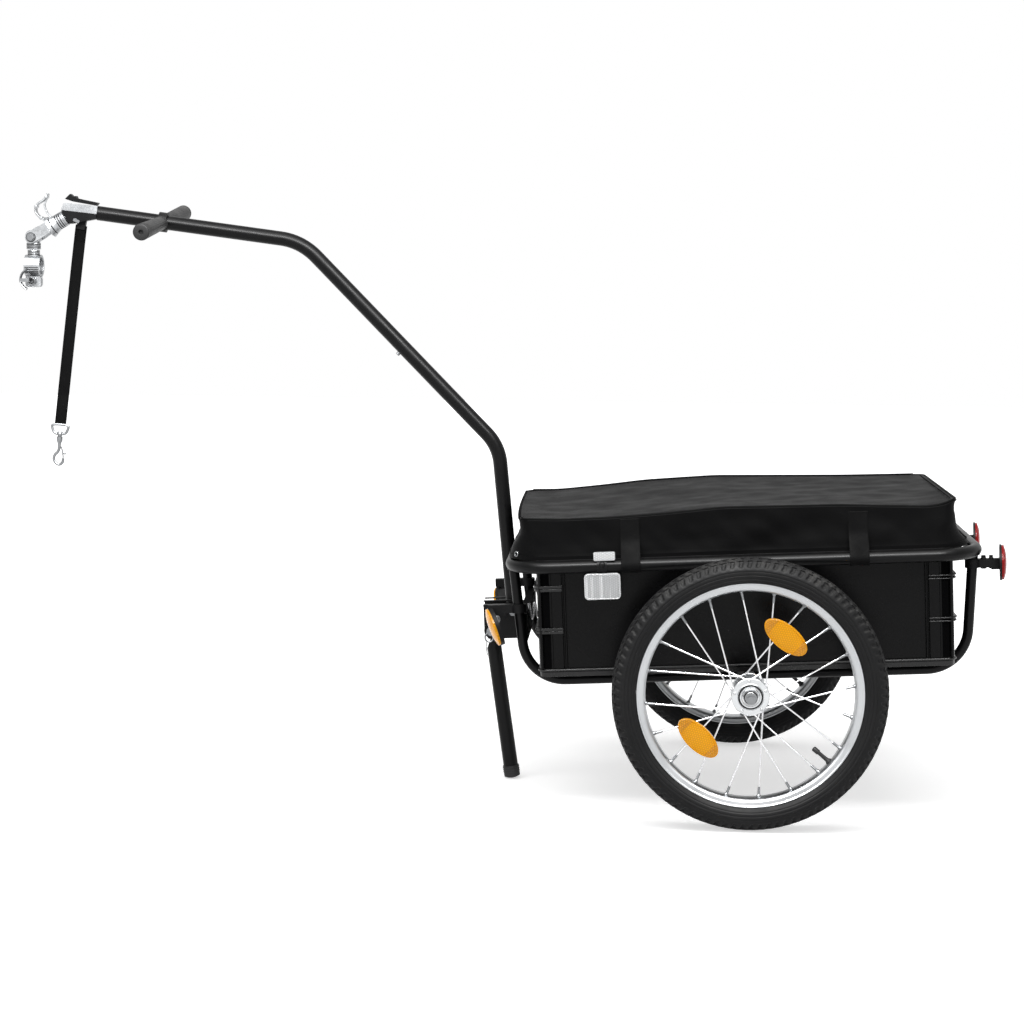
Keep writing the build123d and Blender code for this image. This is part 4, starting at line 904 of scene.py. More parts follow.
def cover_edge(x, y):
    """Height of the cover's top edge."""
    share = unit((y / EDGE_HALF + 1) / 2)
    spots = [x + d for d in (-12, -6, 0, 6, 12)]
    near, far = (np.mean([read_off(table, spot) for spot in spots]) for table in (COVER_NEAR, COVER_FAR))
    return near * (1 - share) + far * share


def cover_reach(level):
    """How far the cover reaches to the front, the rear and the sides at a level."""
    return (read_off(table, level) for table in (COVER_FRONT, COVER_REAR, COVER_HALF))


def cover_loop(front, rear, half, corner, counts=COVER_COUNTS):
    """Points round a rectangle with round corners, matching from one size to the next."""
    long_count, arc_count, short_count = counts
    corner = max(corner, 0.01)
    ends = ((rear, -1), (rear, 1), (-front, 1), (-front, -1))
    centres = [(x - copysign(corner, x), side * (half - corner)) for x, side in ends]
    points = []
    for k, count in enumerate((long_count, short_count) * 2):
        (x0, y0), (x1, y1) = centres[k - 1], centres[k]
        out_x, out_y = ellipse(corner, corner, [90 * (k - 1)])[0]
        for i in range(count):
            points.append((x0 + (x1 - x0) * i / count + out_x, y0 + (y1 - y0) * i / count + out_y))
        turns = [90 * (k - 1 + i / arc_count) for i in range(arc_count)]
        points.extend((x1 + x, y1 + y) for x, y in ellipse(corner, corner, turns))
    return points


def folds(x, y, z, size, seed=0.0):
    """Soft uneven folds, from -1 to 1."""
    return noise.noise(Vector((x / size + seed, y / size - seed, z / size + 2 * seed))) * 1.6


class TRAILER_OT_cover(bpy.types.Operator):
    """Stretches the cloth cover over the box, with its seams, straps and corner rings."""

    bl_idname = "trailer.cover"
    bl_label = "Cargo cover"

    def execute(self, context):
        sizes = context.scene.trailer_sizes
        ripple = sizes.cover_ripple / MM
        rings, flat = [], []
        for level in COVER_LEVELS:
            loop = self.wall(level)
            rings.append(self.hang(loop, level, ripple))
            flat.extend((along, level * 66) for along in run_lengths(loop))
        front, rear, half = cover_reach(1)
        for inset in COVER_INSETS:
            loop = cover_loop(front - inset, rear - inset, half - inset, max(14 - inset * 0.4, 0.5))
            rings.append([(self.pulled(x, y, 1.0), y, self.top(x, y, inset, sizes)) for x, y in loop])
            flat.extend((x + 3000, y) for x, y in loop)
        points, faces = loft(rings)
        skin = (points, faces[:-2] + self.middle(len(points) - len(loop), len(points)))
        cover = make("cloth_cover", [skin], "cover_fabric", replaces=("cargo_cover",), flat=flat, sharp=75)
        cloth = cover.modifiers.new("cloth", "SOLIDIFY")
        cloth.thickness = sizes.cloth_thickness
        cloth.offset = -1.0
        binding, hems = self.seams(ripple)
        straps = self.straps(sizes)
        rings = make("corner_rings", self.corner_rings(), "zinc_steel")
        return {"FINISHED"}

    def middle(self, first, end):
        """Faces that close the top's narrow last ring: a strip of quads, and its two ends."""
        run, across = COVER_COUNTS[0], first + (end - first) // 2
        strip = [(first + i, first + i + 1, across + run - i - 1, across + run - i) for i in range(run)]
        return [*strip, tuple(range(first + run, across + 1)), (*range(across + run, end), first)]

    def wall(self, level):
        """The cover's outline at a level from its hem, 0, to its top edge, 1."""
        front, rear, half = cover_reach(level)
        tight = max(0.0, level - TIGHT_LEVEL) / (1 - TIGHT_LEVEL)
        loose = max(0.0, TIGHT_LEVEL - level) / TIGHT_LEVEL
        loop = cover_loop(front, rear, half, 22 - 8 * tight + 30 * loose)
        return [(self.pulled(x, y, tight), y) for x, y in loop]

    def pulled(self, x, y, share):
        """The front edge is pulled further ahead on its far side than on its near one."""
        farther = 1 - (1 - (y + EDGE_HALF) / (2 * EDGE_HALF)) ** 3
        return x - 10.5 * share * farther * max(0.0, -x - 250) / 72

    def hang(self, loop, level, ripple):
        """Heights and folds for one level of the cover's sides."""
        points = []
        free = sin(pi * min(1.0, level * 0.9 + 0.06))
        lip = 0.8 if level < 0.04 else 0.0
        for x, y in loop:
            hem = HEM_SIDE + (HEM_END - HEM_SIDE) * unit((abs(x) - 312) / 14)
            z = hem + (cover_edge(x, y) - EDGE_DROP - hem) * level
            push = folds(x * 0.8, y, z * 1.6, 52, 3.0) * 1.1 + folds(x + z * 0.9, y, z * 0.5, 27, 7.0) * 0.6
            if abs(y) > 190:
                push += 0.7 * max(0.0, 1 - abs(x - 262 - (z - 215) * 0.9) / 30)
                push += 0.49 * max(0.0, 1 - abs(x - 205 - (z - 215) * 1.3) / 26)
            grow = 1 + ripple * push * free / hypot(x, y)
            points.append((x * grow, y * grow + copysign(lip, y), z))
        return points

    def top(self, x, y, inset, sizes):
        """Height of the cover's top, which sags between its edges."""
        sag = sizes.cover_sag / MM * (1 - (y / EDGE_HALF) ** 2) * (1 - min(1.0, abs(x) / 315.0) ** 4)
        fold = folds(x * 0.82 + y * 0.57, y * 0.35, 0, 46, 11.0) * 0.5 + folds(x, y, 0, 120, 5.0) * 0.8
        fold += folds(x * 0.4 - y * 0.9, x * 0.25, 0, 30, 17.0) * 0.3
        rise = sizes.cover_ripple / MM * fold * min(1.0, inset / 40)
        rounding = 6 + 6 * unit((-x - 285) / 25)
        crease = EDGE_DROP * (1 - min(1.0, inset / rounding)) ** 2 + (0.45 if 7.5 < inset < 9.9 else 0.0)
        return max(cover_edge(x, y) - sag + rise, LOWEST_TOP) - crease

    def seams(self, ripple):
        """The bound top edges, and the seams along them and above the hem."""
        front, rear, _ = cover_reach(1)
        top = [(x * 0.993, y * 0.989, cover_edge(x, y) - 0.7) for x, y in self.wall(1.0)[::2]]
        roll = range(-184, 193, 12)
        roll = [(self.pulled(-front + 3.4, y, 1.0), y, cover_edge(-front, y) - 2.6) for y in roll]
        far = [(x, EDGE_HALF - 1, cover_edge(x, EDGE_HALF) + 0.1) for x in range(-322, 300, 12)]
        line = [(rear - 9.5, y, cover_edge(rear, y) - 0.3) for y in range(-186, 199, 12)]
        binding = [rod(far, 1.7, 9, up=UP), rod(line, 0.8, 7, up=UP)]
        binding.append(rod([(x - 1.6, y, z + 1.2) for x, y, z in roll], 2.9, 12, up=UP))
        hem = self.hang(self.wall(HEM_SEAM), HEM_SEAM, ripple)[::2]
        tape = [(x * 1.0012, y * 1.0025, z) for x, y, z in hem]
        seams = [rod(top, 1.4, 7, closed=True, up=UP), rod(roll, 3.3, 14, up=UP)]
        seams.append(sweep(tape, oblong(3.5, 0.5), up=UP, closed=True))
        binding = make("cover_binding", binding, "cover_fabric", look="dark_binding")
        return binding, make("cover_seams", seams, "cover_fabric")

    def straps(self, sizes):
        """Straps sewn to the cover's sides, each taken round the ring's tube."""
        half = sizes.strap_width / MM / 2
        section = [(half - 1.2, -0.75), (half, -0.3), (half, 0.3)]
        section = both_ways([*section, (half - 1.2, 0.75), (half - 3.2, 0.8), (half - 4, 0.65)])
        run = [(205.4, 244.5), (205.2, 243.5), (205.5, 236), (206.0, 224), (207.2, 213), (212.2, 203.4)]
        turned = ellipse(STRAP_REACH, STRAP_REACH, range(57, 276, 9))
        run += [(219.4, 192.6), *((RING_Y + y, RING_Z + z) for z, y in turned), (203.9, 192)]
        parts, flat = [], []
        for _, sign in SIDES:
            for place in STRAP_PLACES:
                path = through([(place, sign * y, z) for y, z in run], 3)
                parts.append(sweep(path, section, up=(1, 0, 0)))
                flat.extend((a, along) for along in run_lengths(path) for a, _ in section)
        return make("strap_webbing", parts, "webbing", replaces=("cover_straps",), flat=flat, sharp=50)

    def corner_rings(self):
        """A small ring at each front corner."""
        parts = []
        for _, sign in SIDES:
            out, along = (-0.78, sign * 0.63, 0.1), (0.63, sign * 0.78, 0)
            seat = axes_of((CORNER_RING_X, sign * CORNER_RING_Y, CORNER_RING_Z), out, along)
            ring = laid(circle(3.5, 28), seat)
            parts.append(rod(ring, 0.8, 9, closed=True))
        return parts


# ------------------------------------------------------------------ wheels

WHEEL_PLANE = 299.0
SECTION_CENTRE, SECTION, TUCK_RADIUS, TUCK_HALF = 174.0, 22.0, 161.2, 15.9
SPOKES, SPOKE_LEAN, SPOKE_OFFSET = 20, 54.0, 3.1
HUB_CIRCLE, HUB_FLANGE, RIM_BED, RIM_HOLES, VALVE_TURN = 23.0, 20.0, 148.0, 3.0, -42.6
# The amber reflectors: their place round the wheel, how far they are moved out, and their turn.
OVALS = ((57.9, 0.0, -41.3), (217.6, -2.5, -46.4))
OVAL_WIDE, OVAL_HIGH, CLIP_PLACE = 36.0, 17.5, 27.5
# Half the gap between the two spokes that carry a reflector, and how far it stands off them.
CLIPPED_HALF, SPOKE_RADIUS, CLIP_GAP = 24.8, 1.15, 0.4
# Places across half the tread where its section is cut, from the middle outwards.
TREAD_LINES = (1.4, 2.9, 3.4, 5.0, 5.5, 7.6, 10.2, 12.4, 12.9, 14.0, 14.5, 16.6, 19.0, 21.2)
TREAD_LINES += (22.6, 24.0, 26.0, 28.4, 29.8, 30.3, 30.8, 31.3, 33.2, 35.1, 35.6, 36.1, 36.6)
TREAD_LINES += (39.0, 40.9, 41.4, 41.9, 42.4, 44.8, 46.6, 47.6, 48.4)
# Grooves round the tyre: where they start and end, their soft edge and their share of the depth.
TYRE_GROOVES = ((3.4, 5.0, 0.45, 1.0), (12.9, 14.0, 0.45, 0.75), (30.1, 30.9, 0.45, 0.3))
TYRE_GROOVES += ((35.4, 36.2, 0.45, 0.3), (41.2, 42.0, 0.45, 0.25), (46.8, 48.6, 1.0, 0.35))
# Rows of gaps between blocks: the same, then their shift round the tyre, their slant and width.
TYRE_GAPS = ((1.4, 3.2, 0.8, 0.8, 0.0, 0.0, 0.12), (5.2, 12.8, 0.45, 1.0, 0.0, 0.05, 0.17))
TYRE_GAPS += ((14.2, 23.2, 1.4, 1.0, 0.5, -0.02, 0.2),)


def across(y, outwards=1):
    """A matrix on the axle's line at a place across the trailer, its Z along Y."""
    return axes_of((0, y, 0), (0, outwards, 0), (1, 0, 0))


def round_axle(radius, turn, y=0.0):
    """A point at a radius and a turn round the axle, in degrees."""
    return Vector((radius * cos(radians(turn)), y, radius * sin(radians(turn))))


class TRAILER_OT_tyres(bpy.types.Operator):
    """Moulds the two tyres, with staggered shoulder blocks and ribbed walls."""

    bl_idname = "trailer.tyres"
    bl_label = "Tyres"

    def execute(self, context):
        sizes = context.scene.trailer_sizes
        for side, sign in SIDES:
            body, replaced = f"{side}_wheel", (f"{side}_tyre",)
            tyre = self.tyre(sign * WHEEL_PLANE, sizes.tread_blocks, sizes.tread_depth / MM)
            make(f"{side}_tread", [tyre], "tyre_black", body, replaces=replaced, sharp=42)
        return {"FINISHED"}

    def tyre(self, plane, blocks, depth):
        """One tyre: its section goes round the wheel, cut down where the grooves are."""
        arcs = np.array([*(-s for s in reversed(TREAD_LINES)), 0, *TREAD_LINES])[None, :]
        reach = np.abs(arcs)
        count = blocks * 10
        phase = (np.arange(count) / 10.0)[:, None]
        turns = 2 * pi * phase / blocks
        phase = phase + 0.25 * (arcs < 0)

        def cut(start, end, soft, share):
            """A share of the depth between two places across the tyre, fading beside them."""
            rise = np.clip((reach - start) / soft + 1, 0, 1)
            return share * rise * np.clip((end - reach) / soft + 1, 0, 1)

        def gaps(shift, slant, width):
            """1 in the gaps of a row of slanted blocks."""
            place = (phase + shift + slant * reach) % 1.0
            return np.clip((width - np.minimum(place, 1 - place)) / 0.09 + 0.5, 0, 1)

        def rings(radius, y):
            """Points at some radii and places across, all round the axle."""
            return np.stack([radius * np.cos(turns), y + 0 * turns, radius * np.sin(turns)], axis=-1)

        low = [cut(*groove) * np.ones_like(phase) for groove in TYRE_GROOVES]
        low += [cut(*row[:4]) * gaps(*row[4:]) for row in TYRE_GAPS]
        section = SECTION - depth * np.maximum.reduce(low)
        bend = arcs / SECTION
        skin = rings(SECTION_CENTRE + section * np.cos(bend), plane + section * np.sin(bend))
        near, far = (rings(TUCK_RADIUS, plane + edge * TUCK_HALF) for edge in (-1, 1))
        return loft(np.concatenate([near, skin, far], axis=1).tolist(), closed=True, open_sides=True)


class TRAILER_OT_wheels(bpy.types.Operator):
    """Builds the rims, hubs, spoke nipples, valves and amber spoke reflectors."""

    bl_idname = "trailer.wheels"
    bl_label = "Wheels"

    def execute(self, context):
        for side, sign in SIDES:
            body, plane = f"{side}_wheel", sign * WHEEL_PLANE
            hub = across(plane, sign)
            make(f"{side}_rim_ring", self.rim(plane), "rim_alloy", body, replaces=(f"{side}_rim",))
            make(f"{side}_hub_shell", self.hub(sign, plane), "hub_steel", body, replaces=(f"{side}_hub",))
            # Black rings at the hub cap's steps paint the shade that falls there.
            shade_rings = [
                lathe([(a, h), (b, h), (b, h + 1.2), (a, h + 1.5)], hub, 60, closed=True)
                for a, b, h in ((15.5, 17.3, 21.4), (8.5, 9.6, 26.6), (5.2, 6.2, 28.9))
            ]
            make(f"{side}_hub_shade_rings", shade_rings, "black_plastic", body)
            make(f"{side}_nipples", self.nipples(sign, plane), "zinc_steel", body)
            make(f"{side}_valve_stem", self.valve(plane), "valve_rubber", body, replaces=(f"{side}_valve",))
            self.ovals(side, sign, plane, body)
            dress([f"{side}_spokes"], "spoke_steel")
            dress([f"{side}_axle"], "zinc_steel", 0.4)
        dress(["axle_nuts"], "zinc_steel", 0.7)
        return {"FINISHED"}

    def rim(self, plane):
        """The rim: rolled lips, sloping walls and a shallow bed."""
        side = [(161.0, 14.2), (161.0, 15.2), (160.4, 15.8), (159.0, 15.8), (158.2, 15.2), (157.6, 14.9)]
        side += [(154.0, 14.5), (151.2, 13.4), (149.4, 11.2), (148.4, 8.4), (148.0, 4.4), (148.0, 0.0)]
        inner = [(149.6, 0.0), (149.6, 5.0), (150.4, 9.0), (152.4, 12.0), (156.0, 13.0), (160.0, 13.4)]
        outer = side + [(r, -y) for r, y in reversed(side[:-1])]
        back = [(r, -y) for r, y in reversed(inner)] + inner[1:]
        return [lathe(outer + back, across(plane), 180, closed=True)]

    def hub(self, sign, plane):
        """The hub, with a ringed cap and a flange each side."""
        outer = [(5.1, 29.4), (7.7, 29.6), (8.3, 29.0), (8.5, 27.6), (9.3, 27.2), (12.2, 27.6)]
        outer += [(13.0, 26.8), (13.4, 25.4), (15.0, 25.0), (15.6, 24.0), (15.7, 21.0), (17.3, 20.8)]
        outer += [(17.5, 22.4), (18.3, 22.7), (19.2, 21.9), (26.0, 21.6), (26.9, 20.8), (26.9, 19.2)]
        outer += [(26.0, 18.5), (17.0, 17.9), (14.0, 15.0), (13.0, 10.0), (12.8, 0.0), (13.0, -10.0)]
        outer += [(14.0, -15.0), (17.0, -17.9), (26.0, -18.5), (26.9, -19.2), (26.9, -20.8), (26.0, -21.5)]
        outer += [(17.6, -22.0), (16.2, -22.6), (13.2, -33.2), (12.4, -34.0), (5.1, -34.0)]
        button = [(2.9, -0.1), (2.9, 0.25), (2.2, 0.3), (2.1, 1.1), (1.4, 1.8), (0.1, 2.0)]
        parts = [lathe(outer, across(plane, sign), 72, closed=True)]
        for index in range(SPOKES):
            flange, start, _ = self.spoke(index, sign, plane)
            out = Vector((0, flange, 0))
            parts.append(lathe(button, axes_of(start + out * 1.5, out), 14))
        return parts

    def spoke(self, index, sign, plane):
        """The side of a spoke's flange, and the spoke's ends at the hub and at the rim."""
        flange = -sign if index % 2 else sign
        lean = SPOKE_LEAN if index // 2 % 2 else -SPOKE_LEAN
        turn = SPOKE_OFFSET + index * 360 / SPOKES
        start = round_axle(HUB_CIRCLE, turn + lean, plane + flange * HUB_FLANGE)
        return flange, start, round_axle(RIM_BED, turn, plane + flange * RIM_HOLES)

    def nipples(self, sign, plane):
        """A nipple and a dimple's rim at the outer end of every spoke."""
        profile = [(1.25, 13.5), (1.7, 13.3), (1.85, 12.0), (1.95, 3.0), (2.9, 1.6), (3.3, 0.6)]
        profile += [(3.3, -0.6), (0.1, -0.7)]
        parts = []
        for index in range(SPOKES):
            _, start, end = self.spoke(index, sign, plane)
            parts.append(lathe(profile, axes_of(end, start - end), 14))
        return parts

    def valve(self, plane):
        """The valve: a rubber stem and its ribbed cap."""
        inward = -round_axle(1.0, VALVE_TURN)
        matrix = axes_of(round_axle(RIM_BED - 0.3, VALVE_TURN, plane), inward)
        stem = [(4.9, 0), (4.9, 1.2), (4.0, 2.4), (3.3, 3.4), (2.9, 8), (2.7, 18.5), (2.7, 19.5)]
        cap = [(2.9, 19.4), (3.5, 19.8), (3.6, 28.4), (3.1, 29.4), (2.0, 29.7), (0.1, 29.8)]
        return [lathe(stem, matrix, 20), fluted(cap, matrix, 48, 19.6, 29, 0.18)]

    def ovals(self, side, sign, plane, body):
        """Oval amber reflectors clipped between pairs of spokes."""
        half_step = 2 * pi / SPOKES
        hub_half = radians(SPOKE_LEAN) - half_step
        hub_part = HUB_CIRCLE * sin(hub_half)
        share = (CLIPPED_HALF + hub_part) / (RIM_BED * sin(half_step) + hub_part)
        reach = (1 - share) * HUB_CIRCLE * cos(hub_half) + share * RIM_BED * cos(half_step)
        stand_off = HUB_FLANGE + share * (RIM_HOLES - HUB_FLANGE) + SPOKE_RADIUS + CLIP_GAP
        steps = [(0.8, 0.0), (0.0, 0.6), (0.0, 4.6), (0.5, 5.3), (1.4, 5.7), (2.6, 5.7), (3.0, 5.2)]
        steps += [(3.4, 5.6), (6.0, 6.1), (9.0, 6.5), (12.0, 6.8), (15.0, 6.95), (17.3, 7.0)]
        lens, clips, ends, flat = [], [], [], []
        for place, shift, turn in OVALS:
            centre = round_axle(reach + shift, place, plane + sign * stand_off)
            matrix = axes_of(centre, (0, sign, 0), round_axle(1.0, turn))
            rings = []
            for inset, height in steps:
                ring = ellipse(OVAL_WIDE - inset, OVAL_HIGH - inset, range(0, 360, 5))
                rings.append(laid(ring, matrix, height))
                flat.extend(ring)
            lens.append(loft(rings))
            for end in (-1, 1):
                cap = ellipse(end * 34.6, 16.2, range(-48, 49, 6))
                ends.append(plate(cap, 1.1, shifted(matrix, 0, 0, 6.45)))
                for dot in (-5.5, 0.0, 5.5):
                    spot = shifted(matrix, end * CLIP_PLACE, dot, 0)
                    ends.append(lathe([(2.1, 6.9), (1.9, 7.6), (0.1, 7.7)], spot, 16))
                clips.append(block(9.5, 15.5, 5.2, shifted(matrix, end * CLIP_PLACE, 0, 2.4)))
                for edge in (-5.2, 5.2):
                    clips.append(block(5.0, 3.2, 2.6, shifted(matrix, end * 26.0, edge, -0.9)))
        replaced = (f"{side}_spoke_reflectors",)
        make(f"{side}_ovals", lens, "amber_lens", body, replaces=replaced, flat=flat)
        make(f"{side}_oval_ends", ends, "amber_lens", body, look="amber_ends", bevel=0.3, flat="side")
        make(f"{side}_oval_clips", clips, "black_plastic", body, bevel=0.4)


# ------------------------------------------------------------------ frame and box

HOOP_Y, HOOP_FOOT, HOOP_TOP = 140.0, 324.0, 338.0
HOOP_HEAD, HOOP_RISE, CROSSBAR_X, CROSSBAR_Z = 337.3, 169.6, 185.0, 12.2
BOX_X, BOX_Y, BOX_CORNER = 302.0, 200.0, 12.0
CHANNEL_X, FLANGE_Z = 288.5, 19.5
# Heights along an upright rib, on the box's sides and on its ends.
SIDE_HEIGHTS, END_HEIGHTS = (27.5, 60, 120, 184), (27.5, 90, 150, 184)
# Heights and depths of the ribs round each end, and the places, halves and depths of its posts.
END_RIBS = ((148.0, 4.6), (143.2, 4.0), (85.8, 4.6), (81.0, 4.0))
CORNER_POSTS = ((297.5, 2.2, 2.6), (273.0, 8.0, 2.0), (261.5, 1.6, 1.4))


class TRAILER_OT_frame(bpy.types.Operator):
    """Paints the frame's tubes and lays the weld beads at their joints."""

    bl_idname = "trailer.frame"
    bl_label = "Frame"

    def execute(self, context):
        dress(["axle_beam", "floor_crossbars", "left_hoop", "right_hoop", "ring_frame"], "black_steel")
        dress(["front_crossbar"], "dull_steel", 1.0)
        beads = []
        for _, sign in SIDES:
            y = sign * HOOP_Y
            for end in (-1, 1):
                top, lean = (end * HOOP_HEAD, y, HOOP_RISE), (end * (HOOP_TOP - HOOP_FOOT), 0, RING_Z)
                beads.append(self.bead(top, lean, 8.4, 1.5, 5.0 * end + sign))
                for place in (-CROSSBAR_X, CROSSBAR_X):
                    beads.append(self.bead((place, y + end * 6.9, CROSSBAR_Z), ACROSS, 7.4, 1.1, place))
                beads.append(self.bead((0, y + end * 8.4, 0), ACROSS, 14.4, 1.4, end))
        make("weld_beads", beads, "black_steel")
        return {"FINISHED"}

    def bead(self, centre, axis, radius, thick, seed):
        """A rippled ring of weld round a tube."""
        matrix = axes_of(centre, axis)
        rings = []
        for i, (x, y) in enumerate(circle(1.0, 60)):
            swell = 1 + 0.22 * cos(i * pi / 2 + seed) + 0.12 * sin(i * pi / 10 + seed)
            section = circle(thick * swell, 8)
            rings.append([matrix @ Vector((x * (radius + a), y * (radius + a), b)) for a, b in section])
        return loft(rings, closed=True)


class TRAILER_OT_box(bpy.types.Operator):
    """Finishes the moulded box with its ribs, foot flange and corner posts."""

    bl_idname = "trailer.box"
    bl_label = "Cargo box"

    def execute(self, context):
        walls = ["box_floor", "box_front_end", "box_rear_end", "box_left_side", "box_right_side"]
        dress(walls, "box_plastic", context.scene.trailer_sizes.edge_round / MM)
        ribs, posts, channels = [], [], []
        around = cover_loop(BOX_X, BOX_X, BOX_Y, BOX_CORNER, (24, 8, 16))
        ribs.append(self.band(around, 25.0, 2.0, 2.6, closed=True))
        flange = cover_loop(BOX_X - 3, BOX_X - 3, BOX_Y - 3, 9.0, (24, 8, 30))
        for _, sign in SIDES:
            run = sorted((p for p in flange if sign * p[1] > 168), key=lambda p: atan2(sign * p[1], p[0]))
            section = [(4.5, 2.6), (4.5, -2.6), (-4.5, -2.2), (-4.5, 2.2)]
            ribs.append(sweep([(x, y, FLANGE_Z) for x, y in run], section, up=UP))
        for end in (-1, 1):
            wall = [p for p in around if end * p[0] > BOX_X - 33.5]
            wall = sorted(wall, key=lambda p: atan2(p[1], end * (p[0] - end * 250)))
            wall = [(end * 265.0, -BOX_Y), *wall, (end * 265.0, BOX_Y)]
            for height, deep in END_RIBS:
                ribs.append(self.band(wall, height, 1.9, deep))
            for _, sign in SIDES:
                for x, half, deep in CORNER_POSTS:
                    posts.append(self.post(end * x, sign * BOX_Y, half, deep, (0, sign, 0)))
                # A dark strip a little proud of each post paints the shade in its channel.
                channels.append(self.post(end * CHANNEL_X, sign * BOX_Y, 5.4, 0.5, (0, sign, 0)))
            for y in (-120, -40, 40, 120):
                posts.append(self.post(end * BOX_X, y, 1.6, 1.4, (end, 0, 0)))
        # The ribs take a paler, shinier finish that paints their highlights.
        make("box_ribs", ribs, "box_plastic", look="rib_highlight_plastic", bevel=0.35)
        make("box_posts", posts, "box_plastic", bevel=0.35)
        make("post_channel_shade", channels, "box_plastic", look="channel_shade_plastic")
        return {"FINISHED"}

    def band(self, run, height, half, deep, closed=False):
        """A low rib along a wall that stands out of it by a depth."""
        side = [(half, -deep), (half * 0.8, deep * 0.6), (half * 0.3, deep)]
        section = side + [(-a, b) for a, b in reversed(side)]
        return sweep([(x, y, height) for x, y in run], section, UP, closed)

    def post(self, x, y, half, deep, out):
        """An upright rib on a wall that stands out of it by a depth."""
        side = [(-4.0, half), (deep - 1.2, half), (deep, half - 0.8)]
        section = side + [(a, -b) for a, b in reversed(side)]
        heights = SIDE_HEIGHTS if out[1] else END_HEIGHTS
        return sweep([(x, y, z) for z in heights], section, out)


# ------------------------------------------------------------------ drawbar, handle and leg

TOP_CORNER, TOP_RISE, GRIPS_AHEAD = (-650.84, 664.39), 10.08, 214.9
BRACKET_HALF, LATCH_Y = 15.4, 112
LEG_PIVOT, LEG_LEAN = Vector((-383.775, 0, 56.0)), 5.55


class TRAILER_OT_drawbar(bpy.types.Operator):
    """Paints the drawbar and its bracket, and fits their bolts and clips."""

    bl_idname = "trailer.drawbar"
    bl_label = "Drawbar"

    def execute(self, context):
        dress(["lower_drawbar", "upper_drawbar"], "black_steel")
        dress(["drawbar_bracket"], "black_steel", 0.7)
        dress(["drawbar_pin", "stand_pins"], "zinc_steel", 0.6)
        dress(["drawbar_button"], "zinc_steel")
        bolt = [(7.0, 0.0), (7.0, 1.2), (5.6, 1.5), (5.5, 4.8), (4.6, 5.6), (2.9, 5.6)]
        bolt += [(2.6, 4.2), (0.1, 4.2)]
        clip = [(-388.5, -21.5, 55.0), (-393.0, -22.5, 50.0), (-392.0, -23.0, 43.0), (-386.5, -23.0, 40.5)]
        clip += [(-381.5, -22.5, 44.0), (-381.5, -21.5, 51.0), (-384.5, -20.5, 56.0)]
        tail = [(-391.0, -22.6, 41.5), (-391.8, -22.2, 30.0), (-391.0, -22.0, 20.0)]
        spring = [(-318.6, 112.0), (-317.4, 103.0), (-316.0, 92.0), (-314.2, 89.0), (-312.6, 94.0)]
        spring += [(-310.6, 110.0), (-309.4, 112.0), (-308.4, 107.0), (-307.0, 91.0)]
        bolts, ribs, springs = [], [], []
        for _, sign in SIDES:
            bolts.append(lathe(bolt, axes_of((-376.0, sign * BRACKET_HALF, 74.0), (0, sign, 0)), 24))
            for height in (96.0, 103.2):
                run = [(x, sign * BRACKET_HALF, height) for x in (-394.0, -372, -351.0)]
                ribs.append(sweep(run, [(1.2, -1.0), (1.0, 1.4), (-1.0, 1.4), (-1.2, -1.0)], up=UP))
            springs.append(rod(side_run(spring, 6, sign * LATCH_Y), 1.8, 9))
        bolts += [rod(through(clip, 6), 1.3, 9), rod(through(tail, 5), 0.7, 7)]
        make("bracket_bolts", bolts, "zinc_steel")
        make("bracket_ribs", ribs, "black_steel", bevel=0.3)
        make("latch_springs", springs, "spoke_steel")
        return {"FINISHED"}


class TRAILER_OT_handle(bpy.types.Operator):
    """Finishes the handle and moulds its two rubber grips."""

    bl_idname = "trailer.handle"
    bl_label = "Handle and grips"

    def execute(self, context):
        dress(["handle_bar"], "handle_steel")
        dress(["handle_collar"], "black_plastic", 0.8)
        middle = upright(ahead(TOP_CORNER, TOP_RISE, GRIPS_AHEAD))
        tilt = Matrix.Rotation(radians(-0.2), 3, "Z") @ Matrix.Rotation(radians(5.7), 3, "X")
        line = tilt @ Vector(ACROSS)
        profile = [(8.15, 20.2), (10.3, 20.2), (11.1, 20.9), (11.2, 23.4), (10.4, 24.4), (10.2, 26.0)]
        profile += [(10.3, 29.0), (10.9, 60), (11.5, 95), (12.0, 130), (12.25, 154), (11.9, 156)]
        profile += [(11.9, 157), (12.4, 158.4), (12.5, 161.5), (12.1, 163.6), (11.2, 164.6), (10.0, 165.0)]
        profile += [(4.0, 165.0), (3.4, 164.2), (3.3, 161.0), (0.1, 161.0)]
        for side, sign in SIDES:
            grip = fluted(profile, axes_of(middle, line * sign), 96, 28, 150, -0.28)
            make(f"{side}_grip_rubber", [grip], "grip_rubber", replaces=(f"{side}_grip",))
        return {"FINISHED"}


class TRAILER_OT_stand(bpy.types.Operator):
    """Paints the parking leg and ribs its rubber foot."""

    bl_idname = "trailer.stand"
    bl_label = "Parking leg"

    def execute(self, context):
        dress(["stand_leg"], "black_steel", 0.5)
        dress(["stand_foot"], "valve_rubber", 0.8)
        down = Vector((sin(radians(LEG_LEAN)), 0, -cos(radians(LEG_LEAN))))
        profile = [(12.2, -0.9), (12.9, -0.5), (12.9, 0.5), (12.2, 0.9)]
        seats = [axes_of(LEG_PIVOT + down * along, down) for along in (217.5, 221.0, 224.5)]
        ribs = [lathe(profile, seat, 48, closed=True) for seat in seats]
        make("foot_ribs", ribs, "valve_rubber", "stand")
        return {"FINISHED"}


# ------------------------------------------------------------------ reflectors

# Round reflectors: where they are, their end, height, radius, backing, downward tilt and finish.
LENSES = (
    ("rear", 1, 155.5, 26.5, 3.0, 0.0, "red_lens"),
    ("front", -1, 109.5, 29.5, 6.0, 17.0, "amber_lens"),
)
